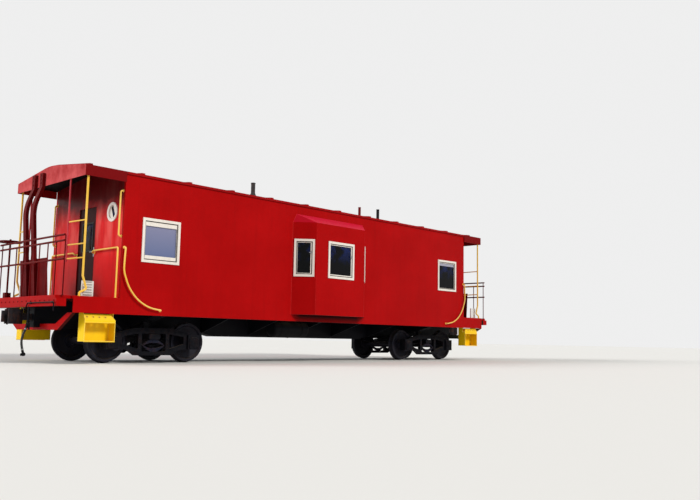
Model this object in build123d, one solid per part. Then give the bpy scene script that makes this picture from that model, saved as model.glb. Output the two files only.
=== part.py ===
# Bay-window caboose: a railway crew car with open end platforms on two four-wheel trucks.
# Millimetres. X runs along the car, Y across it and Z up. The origin is at the middle of the car,
# on the plane under the wheel flanges. "Near" is the -Y side, "front" is the -X end.
from build123d import *
import math
import os

os.makedirs("parts", exist_ok=True)

# Track and wheels
TRACK_GAUGE = 1435
WHEEL_DIAMETER = 838
FLANGE_HEIGHT = 28
FLANGE_WIDTH = 32
RIM_WIDTH = 140
RIM_THICKNESS = 50
WEB_THICKNESS = 26
HUB_RADIUS = 140
HUB_LENGTH = 178
WHEEL_SEAT_RADIUS = 90
AXLE_RADIUS = 80
JOURNAL_RADIUS = 70
JOURNAL_CENTRES = 1956
JOURNAL_LENGTH = 230
RUNNING_CLEARANCE = 0.05
SEAT_GAP = 0.3

# Trucks
TRUCK_WHEELBASE = 1940
TRUCK_INSET = 1120
SIDE_FRAME_THICKNESS = 90
SIDE_FRAME_TOP = 730
SIDE_FRAME_BOTTOM = 165
JOURNAL_BOX = (290, 200, 310)
SPRING_WINDOW_HALF = 290
SPRING_WINDOW_TOP = 620
TRUCK_BOLSTER_WIDTH = 260
CENTRE_PLATE_Z = 676
CENTRE_BOWL_RADIUS = 175
KING_PIN_RADIUS = 25
KING_PIN_LENGTH = 90
LEAF_THICKNESS = 14
LEAF_COUNT = 5

# Car body
BODY_LENGTH = 11593
BODY_WIDTH = 3050
SILL_BOTTOM = 983
FLOOR_TOP = 1303
FLOOR_THICKNESS = 60
WALL = 60
EAVES_Z = 3846
ROOF_RISE = 190
ROOF_CROWN_RADIUS = 2200
ROOF_SHEET = 50
ROOF_OVERHANG = 27
ROOF_END_OVERHANG = 883
FASCIA_BOTTOM = 3630
FASCIA_PLATE = 14
ROOF_SEAM_PITCH = 1147
ROOF_SEAM_PHASE = 310
ROOF_SEAM_WIDTH = 70
ROOF_SEAM_HEIGHT = 26
SIDE_SILL_WIDTH = 120
CENTRE_SILL_WIDTH = 330
CENTRE_SILL_BOTTOM = 700
FISH_BELLY_BOTTOM = 583
FISH_BELLY_HALF = 2500
FISH_BELLY_TAPER = 600

# Window bays
BAY_WALL = 50
BAY_HALF_AT_WALL = 1290
BAY_HALF_AT_FRONT = 855
BAY_ROOF_HALF_AT_WALL = 1176
BAY_PROJECTION = 395
BAY_BOTTOM = 1143
BAY_EAVES = 3383
BAY_ROOF_TOP = 3593

# Windows, portholes and doors
WINDOW_SILL_Z = 2058
WINDOW_HEIGHT = 912
SIDE_WINDOW_WIDTH = 896
SIDE_WINDOW_INSET = 419
BAY_FRONT_WINDOW_WIDTH = 915
BAY_SIDE_WINDOW_WIDTH = 500
FRAME_BAR = 55
FRAME_FLANGE = 30
FRAME_PROUD = 20
GLASS_THICKNESS = 6
PORTHOLE_DIAMETER = 400
PORTHOLE_BAR = 60
PORTHOLE_Y = 1055
PORTHOLE_Z = 3073
DOOR_WIDTH = 760
DOOR_HEIGHT = 1960
DOOR_GAP = 8
DOOR_STOP = 15
DOOR_STOP_LAP = 12
DOOR_GLASS_WIDTH = 420
DOOR_GLASS_HEIGHT = 560
DOOR_GLASS_SILL = 2350
DOOR_PANEL_MARGIN = 150
DOOR_PANEL_DEPTH = 6
HINGE_RADIUS = 14
HINGE_PIN_RADIUS = 6
HINGE_LEAF_LENGTH = 60
HINGE_HEIGHTS = (1503, 2253, 3003)

# Platforms and their fittings
PLATFORM_LENGTH = 964
SKIRT_PLATE = 12
END_BEAM_START = 1090
END_BEAM_END = 1280
END_BEAM_Z = (1097, 1247)
END_BEAM_HALF = 1500
DECK_TONGUE_HALF = 1440
END_SILL_KNEE_Y = 925
END_SILL_BOTTOM = 653
END_SILL_BAND = 120
END_SILL_THICKNESS = 70
STEP_START = 70
STEP_END = 710
STEP_DEPTH = 250
STEP_TOP = 973
STEP_TREAD = 443
STEP_PLATE = 12
STEP_RECESS_TOP = 797
STEP_SLOPE = 60
STEP_HOLES = 4
STEP_HOLE_RADIUS = 18
STEP_HOLE_PITCH = 127
STEP_HOLE_CENTRE = 464
STEP_LIP_RADIUS = 9
POST_Y = 250
POST_SPACING = 370
POST_WIDTH = 130
POST_THICKNESS = 65
POST_WEB = 9
POST_FOOT = 2
POST_KNEE = 1072
POST_BEND_Z = 3177
POST_NECK_Z = 3599
POST_TOP = 3900
POST_BEND_RADII = (1000, 200)
POST_PLATE_Y = (-270, 1000)
POST_PLATE_TOP = 2100
POST_PLATE_THICKNESS = 8
HANDRAIL_RADIUS = 17
WALL_RAIL_STANDOFF = 60
WALL_RAIL_INSET = 80
WALL_RAIL_HEIGHT = 1330
WALL_RAIL_DOOR_MARGIN = 21
GRAB_IRON_HEIGHT = 1560
GRAB_IRON_DROP = 383
RAIL_RADIUS = 20
TOP_RAIL_Z = 2333
UPPER_RAIL_Z = 2443
LOWER_RAIL_Z = 1983
RAIL_X = 1185
BALUSTER_RADIUS = 12
BALUSTERS = 9
POLE_RADIUS = 21
POLE_X = 790
POLE_Y = 30
POLE_JOGGLE_IN = 90
POLE_JOGGLE_OUT = 50
POLE_JOGGLE_Z = (1690, 1440, 1370)
INNER_POLE_Y = 640
INNER_POLE_OFFSET = 55
INNER_POLE_RADIUS = 17
RUNG_RADIUS = 14
RUNG_HEIGHTS = (2043, 2316, 2773)
GRATING_X = (520, 760)
GRATING_Y = 100
GRATING_Z = (1303, 1603)

# Couplers, brake gear and roof fittings
COUPLER_HEIGHT = 904
COUPLER_REACH = 290
SHANK_SIZE = 130
KNUCKLE_PIN_RADIUS = 18
HOSE_DIAMETER = 44
HAND_BRAKE_Y = 1180
HAND_BRAKE_SETBACK = 70
AIR_TANK_RADIUS = 200
AIR_TANK_LENGTH = 1120
AIR_TANK_Y = -800
BRAKE_CYLINDER_RADIUS = 150
BRAKE_CYLINDER_LENGTH = 450
BRAKE_CYLINDER_Y = 700
AIR_GEAR_Z = 800
STACKS_Y = -1125
STOVE_STACK_X = -2237
STOVE_STACK_RADIUS = 50
STOVE_STACK_HEIGHT = 370
VENT_POSITIONS = (1483, 2233)

# Sizes that follow from the ones above
HALF_BODY = BODY_LENGTH / 2
HALF_WIDTH = BODY_WIDTH / 2
INNER_HALF_WIDTH = HALF_WIDTH - WALL
WHEEL_RADIUS = WHEEL_DIAMETER / 2
AXLE_Z = FLANGE_HEIGHT + WHEEL_RADIUS
TRUCK_X = HALF_BODY - TRUCK_INSET
WHEEL_INNER_FACE = TRACK_GAUGE / 2 - FLANGE_WIDTH - 9
JOURNAL_Y = JOURNAL_CENTRES / 2
ROOF_HALF = HALF_WIDTH + ROOF_OVERHANG
ROOF_APEX = EAVES_Z + ROOF_RISE
ROOF_END = HALF_BODY + ROOF_END_OVERHANG
SKIRT_END = HALF_BODY + PLATFORM_LENGTH
WINDOW_MID_Z = WINDOW_SILL_Z + WINDOW_HEIGHT / 2
SIDE_WINDOW_X = HALF_BODY - SIDE_WINDOW_INSET - SIDE_WINDOW_WIDTH / 2
BAY_FACE_Y = HALF_WIDTH + BAY_PROJECTION
BAY_RETURN = BAY_HALF_AT_WALL - BAY_HALF_AT_FRONT
BAY_ANGLE = math.degrees(math.atan2(BAY_PROJECTION, BAY_RETURN))


def block(x_span, y_span, z_span):
    """A box from three (low, high) spans, in either order."""
    low = [min(span) for span in (x_span, y_span, z_span)]
    size = [abs(span[1] - span[0]) for span in (x_span, y_span, z_span)]
    return Pos(*low) * Box(*size, align=(Align.MIN, Align.MIN, Align.MIN))


def plate_xz(outline, y_span):
    """A plate whose (x, z) outline stands across Y."""
    face = make_face(Polyline(*[(x, y_span[0], z) for x, z in outline], close=True))
    return extrude(face, amount=y_span[1] - y_span[0], dir=(0, 1, 0))


def plate_yz(outline, x_span):
    """A plate whose (y, z) outline stands across X."""
    face = make_face(Polyline(*[(x_span[0], y, z) for y, z in outline], close=True))
    return extrude(face, amount=x_span[1] - x_span[0], dir=(1, 0, 0))


def plate_xy(outline, z_span):
    """A flat plate with an (x, y) outline."""
    face = make_face(Polyline(*[(x, y, z_span[0]) for x, y in outline], close=True))
    return extrude(face, amount=z_span[1] - z_span[0], dir=(0, 0, 1))


def cylinder(start, end, radius):
    """A round bar between two points."""
    line = Line(start, end)
    return extrude(Plane(origin=start, z_dir=line % 0) * Circle(radius), amount=line.length)


def rod(points, radius, bend):
    """A bent round bar through the points, its corners rounded to one bend radius or to one each."""
    path = FilletPolyline(*points, radius=bend)
    return sweep(Plane(origin=path @ 0, z_dir=path % 0) * Circle(radius), path=path)


def arc_radii(points):
    """0.45 of the shorter run at each corner, over the tangent of half the turn."""
    radii = []
    for a, b, c in zip(points, points[1:], points[2:]):
        before = Vector(*b) - Vector(*a)
        after = Vector(*c) - Vector(*b)
        turn = before.get_angle(after)
        radii.append(0.45 * min(before.length, after.length) / math.tan(math.radians(turn / 2)))
    return radii


def mirror_y(shape):
    return mirror(shape, about=Plane.XZ)


def mirror_x(shape):
    return mirror(shape, about=Plane.YZ)


def both_sides(shapes):
    return shapes + [mirror_y(shape) for shape in shapes]


def both_ends(shapes):
    """The shapes and their copies mirrored to the other end."""
    return shapes + [mirror_x(shape) for shape in shapes]


def turned_ends(shapes):
    """The shapes and their copies turned half round to the other end."""
    return shapes + [shape.rotate(Axis.Z, 180) for shape in shapes]


def fused(shapes):
    whole = shapes[0]
    for shape in shapes[1:]:
        whole = whole + shape
    return whole


def save(node, shapes):
    solids = [solid for shape in shapes for solid in shape.solids()]
    export_step(Compound(solids), f"parts/{node}.step")


# Roof section, shared by the roof, the fascias and the tops of the walls
def roof_curve(drop):
    """The roof's cross line, lowered by drop: two slopes and a round crown."""
    eave = (0, ROOF_HALF, EAVES_Z - drop)
    far_eave = (0, -ROOF_HALF, EAVES_Z - drop)
    return FilletPolyline(far_eave, (0, 0, ROOF_APEX - drop), eave, radius=ROOF_CROWN_RADIUS)


def roof_slice(top_drop, bottom_drop, x_span):
    """A length of roof between two lowered cross lines."""
    top = roof_curve(top_drop)
    bottom = roof_curve(bottom_drop)
    sides = [Line(top @ 0, bottom @ 0), Line(top @ 1, bottom @ 1)]
    face = make_face([top, bottom, *sides])
    return Pos(x_span[0], 0, 0) * extrude(face, amount=x_span[1] - x_span[0], dir=(1, 0, 0))


def above_ceiling(x_span):
    """Everything from the roof sheet's underside up."""
    return roof_slice(-ROOF_RISE, ROOF_SHEET, x_span)


def make_roof():
    span = (-ROOF_END, ROOF_END)
    pieces = [roof_slice(0, ROOF_SHEET, span)]
    seams = range(math.ceil((-ROOF_END - ROOF_SEAM_PHASE) / ROOF_SEAM_PITCH),
                  math.floor((ROOF_END - ROOF_SEAM_PHASE) / ROOF_SEAM_PITCH) + 1)
    for index in seams:
        x = ROOF_SEAM_PHASE + index * ROOF_SEAM_PITCH
        pieces.append(roof_slice(-ROOF_SEAM_HEIGHT, 0, (x - ROOF_SEAM_WIDTH / 2, x + ROOF_SEAM_WIDTH / 2)))
    fascia_end = (ROOF_END - FASCIA_PLATE, ROOF_END)
    fascia_box = block(fascia_end, (-ROOF_HALF, ROOF_HALF), (FASCIA_BOTTOM, ROOF_APEX))
    end_fascia = fascia_box - above_ceiling((ROOF_END - 2 * FASCIA_PLATE, ROOF_END + FASCIA_PLATE))
    side_box = block((HALF_BODY, ROOF_END), (ROOF_HALF - FASCIA_PLATE, ROOF_HALF), (FASCIA_BOTTOM, EAVES_Z))
    side_fascia = side_box - above_ceiling((HALF_BODY - FASCIA_PLATE, ROOF_END + FASCIA_PLATE))
    pieces += both_ends([end_fascia] + both_sides([side_fascia]))
    return fused(pieces)


# Windows: a local frame has its centre at the origin, its width along X and outdoors at -Y
def frame_ring(width, height, wall):
    flange = block((-width / 2, width / 2), (-FRAME_PROUD, 0), (-height / 2, height / 2))
    sleeve_w = width / 2 - FRAME_FLANGE
    sleeve_h = height / 2 - FRAME_FLANGE
    sleeve = block((-sleeve_w, sleeve_w), (0, wall), (-sleeve_h, sleeve_h))
    clear_w = width / 2 - FRAME_BAR
    clear_h = height / 2 - FRAME_BAR
    clear = block((-clear_w, clear_w), (-wall, 2 * wall), (-clear_h, clear_h))
    return flange + sleeve - clear


def frame_cut(width, height, wall):
    half_w = width / 2 - FRAME_FLANGE
    half_h = height / 2 - FRAME_FLANGE
    return block((-half_w, half_w), (-wall, 2 * wall), (-half_h, half_h))


def frame_glass(width, height, wall):
    half_w = width / 2 - FRAME_BAR
    half_h = height / 2 - FRAME_BAR
    mid = wall / 2
    return block((-half_w, half_w), (mid - GLASS_THICKNESS / 2, mid + GLASS_THICKNESS / 2), (-half_h, half_h))


BAY_SIDE_X = (BAY_HALF_AT_WALL + BAY_HALF_AT_FRONT) / 2
BAY_SIDE_Y = -(HALF_WIDTH + BAY_FACE_Y) / 2

# Near-side windows. Columns: x, y of the outer face, turn about Z, width, wall thickness, in the bay
NEAR_WINDOWS = [
    (-SIDE_WINDOW_X, -HALF_WIDTH, 0, SIDE_WINDOW_WIDTH, WALL, False),
    (SIDE_WINDOW_X, -HALF_WIDTH, 0, SIDE_WINDOW_WIDTH, WALL, False),
    (0, -BAY_FACE_Y, 0, BAY_FRONT_WINDOW_WIDTH, BAY_WALL, True),
    (-BAY_SIDE_X, BAY_SIDE_Y, -BAY_ANGLE, BAY_SIDE_WINDOW_WIDTH, BAY_WALL, True),
    (BAY_SIDE_X, BAY_SIDE_Y, BAY_ANGLE, BAY_SIDE_WINDOW_WIDTH, BAY_WALL, True),
]


def near_window_shapes(maker, in_bay=None):
    shapes = []
    for x, y, turn, width, wall, bay in NEAR_WINDOWS:
        if in_bay is None or bay == in_bay:
            shapes.append(Location((x, y, WINDOW_MID_Z), (0, 0, turn)) * maker(width, WINDOW_HEIGHT, wall))
    return shapes


def porthole_disc(radius, x_span):
    """A round disc on the front end wall's porthole axis."""
    start = (-HALF_BODY + x_span[0], -PORTHOLE_Y, PORTHOLE_Z)
    end = (-HALF_BODY + x_span[1], -PORTHOLE_Y, PORTHOLE_Z)
    return cylinder(start, end, radius)


def make_porthole_frame():
    radius = PORTHOLE_DIAMETER / 2
    flange = porthole_disc(radius, (-FRAME_PROUD, 0))
    sleeve = porthole_disc(radius - FRAME_FLANGE, (0, WALL))
    return flange + sleeve - porthole_disc(radius - PORTHOLE_BAR, (-WALL, 2 * WALL))


def make_porthole_glass():
    mid = WALL / 2
    return porthole_disc(PORTHOLE_DIAMETER / 2 - PORTHOLE_BAR, (mid - GLASS_THICKNESS / 2, mid + GLASS_THICKNESS / 2))


# Cabin shell
def make_side_wall():
    """Near side wall, from the sill's bottom to the roof, with window and bay openings."""
    wall = block((-HALF_BODY, HALF_BODY), (-HALF_WIDTH, -INNER_HALF_WIDTH), (SILL_BOTTOM, ROOF_APEX))
    wall -= above_ceiling((-HALF_BODY - WALL, HALF_BODY + WALL))
    bay_half = BAY_HALF_AT_WALL - BAY_WALL
    wall -= block((-bay_half, bay_half), (-HALF_WIDTH - WALL, -INNER_HALF_WIDTH + WALL),
                  (BAY_BOTTOM + BAY_WALL, BAY_EAVES))
    for cut in near_window_shapes(frame_cut, in_bay=False):
        wall -= cut
    return wall


def bay_plan(inset):
    """The bay's plan outline, moved in by inset on its three outer faces."""
    slant = inset / math.sin(math.radians(90 - BAY_ANGLE)) if inset else 0
    front_shift = inset * math.tan(math.radians(BAY_ANGLE / 2))
    face_y = -(BAY_FACE_Y - inset)
    at_front = BAY_HALF_AT_FRONT - front_shift
    at_wall = at_front + (BAY_FACE_Y - inset - HALF_WIDTH) * BAY_RETURN / BAY_PROJECTION
    return [(-at_wall, -HALF_WIDTH), (-at_front, face_y), (at_front, face_y), (at_wall, -HALF_WIDTH)]


def polyhedron(faces):
    """A closed solid from flat faces, each a list of corner points."""
    return Solid(Shell([Face(Wire.make_polygon(corners)) for corners in faces]))


def make_bay():
    """Near bay: three walls, a floor and a hipped roof."""
    shell = plate_xy(bay_plan(0), (BAY_BOTTOM, BAY_EAVES))
    shell -= plate_xy(bay_plan(BAY_WALL), (BAY_BOTTOM + BAY_WALL, BAY_EAVES + BAY_WALL))
    a, b, c, d = [(x, y, BAY_EAVES) for x, y in bay_plan(0)]
    ridge_a = (-BAY_ROOF_HALF_AT_WALL, -HALF_WIDTH, BAY_ROOF_TOP)
    ridge_d = (BAY_ROOF_HALF_AT_WALL, -HALF_WIDTH, BAY_ROOF_TOP)
    hip = polyhedron([[a, b, c, d], [a, b, ridge_a], [b, c, ridge_d, ridge_a], [c, d, ridge_d],
                      [d, a, ridge_a, ridge_d]])
    bay = shell + hip
    for cut in near_window_shapes(frame_cut, in_bay=True):
        bay -= cut
    return bay


def make_end_wall():
    """Front end wall between the side walls, with doorway, door stop, hinge knuckles and porthole."""
    wall = block((-HALF_BODY, -HALF_BODY + WALL), (-INNER_HALF_WIDTH, INNER_HALF_WIDTH), (FLOOR_TOP, ROOF_APEX))
    wall -= above_ceiling((-HALF_BODY - WALL, -HALF_BODY + 2 * WALL))
    half_door = DOOR_WIDTH / 2
    half_rough = half_door + DOOR_GAP
    head = FLOOR_TOP + DOOR_HEIGHT + 2 * DOOR_GAP
    wall -= block((-HALF_BODY + DOOR_STOP, -HALF_BODY + 2 * WALL), (-half_rough, half_rough), (FLOOR_TOP, head))
    half_clear = half_door - DOOR_STOP_LAP
    wall -= block((-HALF_BODY - WALL, -HALF_BODY + 2 * WALL), (-half_clear, half_clear),
                  (FLOOR_TOP, head - DOOR_GAP - DOOR_STOP_LAP))
    wall -= porthole_disc(PORTHOLE_DIAMETER / 2 - FRAME_FLANGE, (-WALL, 2 * WALL))
    return fused([wall] + [hinge_wall_part(z) for z in HINGE_HEIGHTS])


HINGE_X = -HALF_BODY + WALL + HINGE_RADIUS
HINGE_Y = DOOR_WIDTH / 2 + DOOR_GAP / 2


def hinge_wall_part(z):
    """A knuckle under the door's own, its leaf on the wall and the pin that stands up from it."""
    bottom = z - HINGE_LEAF_LENGTH - SEAT_GAP
    knuckle = cylinder((HINGE_X, HINGE_Y, bottom), (HINGE_X, HINGE_Y, z - SEAT_GAP), HINGE_RADIUS)
    pin = cylinder((HINGE_X, HINGE_Y, bottom), (HINGE_X, HINGE_Y, z + HINGE_LEAF_LENGTH), HINGE_PIN_RADIUS)
    leaf = block((HINGE_X - HINGE_RADIUS, HINGE_X - HINGE_RADIUS + 8), (HINGE_Y, HINGE_Y + 60), (bottom, z - SEAT_GAP))
    return knuckle + leaf + pin


def hinge_door_part(z):
    """The door's knuckle round the pin, with its leaf on the door's inner face."""
    top = z + HINGE_LEAF_LENGTH
    knuckle = cylinder((HINGE_X, HINGE_Y, z), (HINGE_X, HINGE_Y, top), HINGE_RADIUS)
    leaf = block((HINGE_X - HINGE_RADIUS, HINGE_X - HINGE_RADIUS + 8), (HINGE_Y - 60, HINGE_Y), (z, top))
    return knuckle + leaf - hinge_bore(z)


def hinge_bore(z):
    radius = HINGE_PIN_RADIUS + RUNNING_CLEARANCE
    return cylinder((HINGE_X, HINGE_Y, z - 1), (HINGE_X, HINGE_Y, z + HINGE_LEAF_LENGTH + 1), radius)


DOOR_FACE_X = -HALF_BODY + DOOR_STOP + DOOR_GAP


def make_door():
    """Front door leaf with its window opening, kick panel recess, handle and hinge knuckles."""
    bottom = FLOOR_TOP + DOOR_GAP
    inner = -HALF_BODY + WALL
    across = (-DOOR_GLASS_WIDTH / 2, DOOR_GLASS_WIDTH / 2)
    leaf = block((DOOR_FACE_X, inner), (-DOOR_WIDTH / 2, DOOR_WIDTH / 2), (bottom, bottom + DOOR_HEIGHT))
    leaf -= block((DOOR_FACE_X - 1, inner + 1), across, (DOOR_GLASS_SILL, DOOR_GLASS_SILL + DOOR_GLASS_HEIGHT))
    panel_z = (bottom + DOOR_PANEL_MARGIN, DOOR_GLASS_SILL - DOOR_PANEL_MARGIN)
    leaf -= block((DOOR_FACE_X - 1, DOOR_FACE_X + DOOR_PANEL_DEPTH), across, panel_z)
    leaf -= block((inner - DOOR_PANEL_DEPTH, inner + 1), across, panel_z)
    knob_y = -DOOR_WIDTH / 2 + 60
    knob_z = FLOOR_TOP + 1000
    knob = cylinder((inner, knob_y, knob_z), (inner + 50, knob_y, knob_z), 12)
    knob += Pos(inner + 60, knob_y, knob_z) * Sphere(28)
    return fused([leaf, knob] + [hinge_door_part(z) for z in HINGE_HEIGHTS])


def make_door_glass():
    mid = (DOOR_FACE_X - HALF_BODY + WALL) / 2
    half = DOOR_GLASS_WIDTH / 2
    return block((mid - GLASS_THICKNESS / 2, mid + GLASS_THICKNESS / 2), (-half, half),
                 (DOOR_GLASS_SILL, DOOR_GLASS_SILL + DOOR_GLASS_HEIGHT))


# Underframe
def make_centre_sill():
    """Box sill with a deeper belly between the trucks, centre plates and king pins."""
    end = SKIRT_END + END_BEAM_START - PLATFORM_LENGTH
    top = FLOOR_TOP - FLOOR_THICKNESS
    taper = FISH_BELLY_HALF + FISH_BELLY_TAPER
    outline = [(-end, top), (-end, CENTRE_SILL_BOTTOM), (-taper, CENTRE_SILL_BOTTOM),
               (-FISH_BELLY_HALF, FISH_BELLY_BOTTOM), (FISH_BELLY_HALF, FISH_BELLY_BOTTOM),
               (taper, CENTRE_SILL_BOTTOM), (end, CENTRE_SILL_BOTTOM), (end, top)]
    half = CENTRE_SILL_WIDTH / 2
    sill = plate_xz(outline, (-half, half))
    for x in (-TRUCK_X, TRUCK_X):
        plate = cylinder((x, 0, CENTRE_PLATE_Z + SEAT_GAP), (x, 0, CENTRE_SILL_BOTTOM), CENTRE_BOWL_RADIUS - 10)
        pin = cylinder((x, 0, CENTRE_PLATE_Z + SEAT_GAP - KING_PIN_LENGTH), (x, 0, CENTRE_SILL_BOTTOM),
                       KING_PIN_RADIUS)
        sill = sill + plate + pin
    return sill


CROSS_BEARERS = (-2900, -1450, 0, 1450, 2900)
CROSS_BEARER_THICKNESS = 40
BODY_BOLSTER_THICKNESS = 300
SIDE_BEARING_Y = 640
SIDE_BEARING_GAP = 8


def make_cross_bearers():
    """Tapered bearers from the centre sill to the side sills, the bolsters among them."""
    top = FLOOR_TOP - FLOOR_THICKNESS
    inner = CENTRE_SILL_WIDTH / 2
    outer = INNER_HALF_WIDTH - SIDE_SILL_WIDTH
    bearers = []
    for x in CROSS_BEARERS:
        half = CROSS_BEARER_THICKNESS / 2
        outline = [(inner, FISH_BELLY_BOTTOM + 60), (inner, top), (outer, top), (outer, SILL_BOTTOM + 40)]
        bearers.append(plate_yz(outline, (x - half, x + half)))
    for x in (-TRUCK_X, TRUCK_X):
        half = BODY_BOLSTER_THICKNESS / 2
        outline = [(inner, CENTRE_SILL_BOTTOM + 30), (inner, top), (outer, top), (outer, SILL_BOTTOM + 40)]
        bolster = plate_yz(outline, (x - half, x + half))
        bearing_z = (TRUCK_BOLSTER_PAD_Z + SIDE_BEARING_GAP, CENTRE_SILL_BOTTOM + 250)
        bearing = block((x - 60, x + 60), (SIDE_BEARING_Y - 50, SIDE_BEARING_Y + 50), bearing_z)
        bearers.append(bolster + bearing)
    return both_sides(bearers)


def make_side_sills():
    top = FLOOR_TOP - FLOOR_THICKNESS
    sill = block((-HALF_BODY, HALF_BODY), (INNER_HALF_WIDTH - SIDE_SILL_WIDTH, INNER_HALF_WIDTH), (SILL_BOTTOM, top))
    hollow = block((-HALF_BODY - 1, HALF_BODY + 1), (INNER_HALF_WIDTH - SIDE_SILL_WIDTH - 1, INNER_HALF_WIDTH - 14),
                   (SILL_BOTTOM + 14, top - 14))
    return both_sides([sill - hollow])


def make_floor():
    floor_z = (FLOOR_TOP - FLOOR_THICKNESS, FLOOR_TOP)
    return block((-HALF_BODY, HALF_BODY), (-INNER_HALF_WIDTH, INNER_HALF_WIDTH), floor_z)


# Platforms, built at the front end
def make_platform():
    """Front platform: deck, its tongue to the end beam, side skirts and the end beam itself."""
    deck_z = (FLOOR_TOP - FLOOR_THICKNESS, FLOOR_TOP)
    inside = HALF_WIDTH - SKIRT_PLATE
    deck = block((-SKIRT_END, -HALF_BODY), (-inside, inside), deck_z)
    tongue = block((-HALF_BODY - END_BEAM_END, -SKIRT_END), (-DECK_TONGUE_HALF, DECK_TONGUE_HALF), deck_z)
    skirt = block((-SKIRT_END, -HALF_BODY), (inside, HALF_WIDTH), (SILL_BOTTOM, FLOOR_TOP))
    beam = block((-HALF_BODY - END_BEAM_END, -HALF_BODY - END_BEAM_START), (-END_BEAM_HALF, END_BEAM_HALF),
                 (END_BEAM_Z[0], FLOOR_TOP - FLOOR_THICKNESS))
    return fused([deck, tongue, beam] + both_sides([skirt]))


def make_end_sill():
    """Front end sill: a band that dips from the skirts to below the coupler."""
    half = HALF_WIDTH
    outer = [(-half, SILL_BOTTOM), (-END_SILL_KNEE_Y, END_SILL_BOTTOM), (END_SILL_KNEE_Y, END_SILL_BOTTOM),
             (half, SILL_BOTTOM)]
    lift = END_SILL_BAND
    shift = lift * (HALF_WIDTH - END_SILL_KNEE_Y) / (SILL_BOTTOM - END_SILL_BOTTOM)
    inner = [(half - shift, SILL_BOTTOM), (END_SILL_KNEE_Y - shift * 0.4, END_SILL_BOTTOM + lift),
             (-END_SILL_KNEE_Y + shift * 0.4, END_SILL_BOTTOM + lift), (-half + shift, SILL_BOTTOM)]
    x_span = (-SKIRT_END, -SKIRT_END + END_SILL_THICKNESS)
    sill_half = CENTRE_SILL_WIDTH / 2
    return plate_yz(outer + inner, x_span) - block(x_span, (-sill_half, sill_half), (CENTRE_SILL_BOTTOM, FLOOR_TOP))


def make_step_box():
    """Near front step: side cheeks with a cut corner, riser with a slot line, tread and back."""
    x_out = -HALF_BODY - STEP_END
    x_in = -HALF_BODY - STEP_START
    y_face = -HALF_WIDTH
    y_back = -HALF_WIDTH + STEP_DEPTH
    cheek = [(y_face + STEP_SLOPE, STEP_TOP), (y_face, STEP_TOP - 2 * STEP_SLOPE), (y_face, STEP_TREAD),
             (y_back, STEP_TREAD), (y_back, STEP_TOP)]
    cheeks = [plate_yz(cheek, (x_out, x_out + STEP_PLATE)), plate_yz(cheek, (x_in - STEP_PLATE, x_in))]
    tread = block((x_out, x_in), (y_face, y_back), (STEP_TREAD, STEP_TREAD + STEP_PLATE))
    back = block((x_out, x_in), (y_back - STEP_PLATE, y_back), (STEP_TREAD, STEP_TOP))
    slope = [(y_face + STEP_SLOPE, STEP_TOP), (y_face, STEP_TOP - 2 * STEP_SLOPE),
             (y_face, STEP_RECESS_TOP), (y_face + STEP_PLATE, STEP_RECESS_TOP),
             (y_face + STEP_PLATE, STEP_TOP - 2 * STEP_SLOPE), (y_face + STEP_SLOPE + STEP_PLATE, STEP_TOP)]
    apron = plate_yz(slope, (x_out, x_in))
    nose_y = y_face + 1
    for index in range(STEP_HOLES):
        x = -HALF_BODY - STEP_HOLE_CENTRE + (index - (STEP_HOLES - 1) / 2) * STEP_HOLE_PITCH
        y = y_face + STEP_SLOPE / 2
        z = STEP_TOP - STEP_SLOPE
        apron -= cylinder((x, y - 2 * STEP_PLATE, z + STEP_PLATE), (x, y + 4 * STEP_PLATE, z - 2 * STEP_PLATE),
                          STEP_HOLE_RADIUS)
    lip_z = STEP_RECESS_TOP + STEP_LIP_RADIUS
    nose_z = STEP_TREAD
    lips = [cylinder((x_out, nose_y, z), (x_in, nose_y, z), STEP_LIP_RADIUS) for z in (lip_z, nose_z)]
    cut = [(x_in - 1.5 * STEP_SLOPE, STEP_TOP + 1), (x_in + 1, STEP_TOP + 1), (x_in + 1, STEP_TOP - 2 * STEP_SLOPE)]
    corner = plate_xz(cut, (y_face - 1, y_face + 1.5 * STEP_SLOPE))
    hanger_z = (STEP_TOP, FLOOR_TOP - FLOOR_THICKNESS)
    hangers = [block((x, x + STEP_PLATE), (y_back - 3 * STEP_SLOPE, y_back), hanger_z)
               for x in (x_out, x_in - STEP_PLATE)]
    return fused([tread, back, apron] + cheeks + lips) - corner + hangers[0] + hangers[1]


def post_line(y):
    """Centre line of a post: it leans out from the deck, bends in and ends upright on the fascia."""
    foot = -SKIRT_END + POST_FOOT + POST_THICKNESS / 2
    knee = -HALF_BODY - POST_KNEE
    neck = -ROOF_END - SEAT_GAP - POST_THICKNESS / 2
    lean = (knee - foot) / (POST_BEND_Z - FLOOR_TOP)
    start = (foot - lean * POST_THICKNESS, y, FLOOR_TOP - POST_THICKNESS)
    return [start, (knee, y, POST_BEND_Z), (neck, y, POST_NECK_Z), (neck, y, POST_TOP)]


def make_curved_posts():
    """Two channel posts at the front end, their open sides towards the car, and the plate across them."""
    section = Rectangle(POST_WIDTH, POST_THICKNESS)
    section -= Pos(0, -POST_WEB) * Rectangle(POST_WIDTH - 2 * POST_WEB, POST_THICKNESS)
    under_deck = block((-SKIRT_END - POST_THICKNESS, -HALF_BODY), (-HALF_WIDTH, HALF_WIDTH),
                       (FLOOR_TOP - 3 * POST_THICKNESS, FLOOR_TOP + SEAT_GAP))
    posts = []
    for y in (POST_Y, POST_Y + POST_SPACING):
        path = FilletPolyline(*post_line(y), radius=list(POST_BEND_RADII))
        start = Plane(origin=path @ 0, x_dir=(0, 1, 0), z_dir=path % 0)
        posts.append(sweep(start * section, path=path) - under_deck)
    return posts


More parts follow.
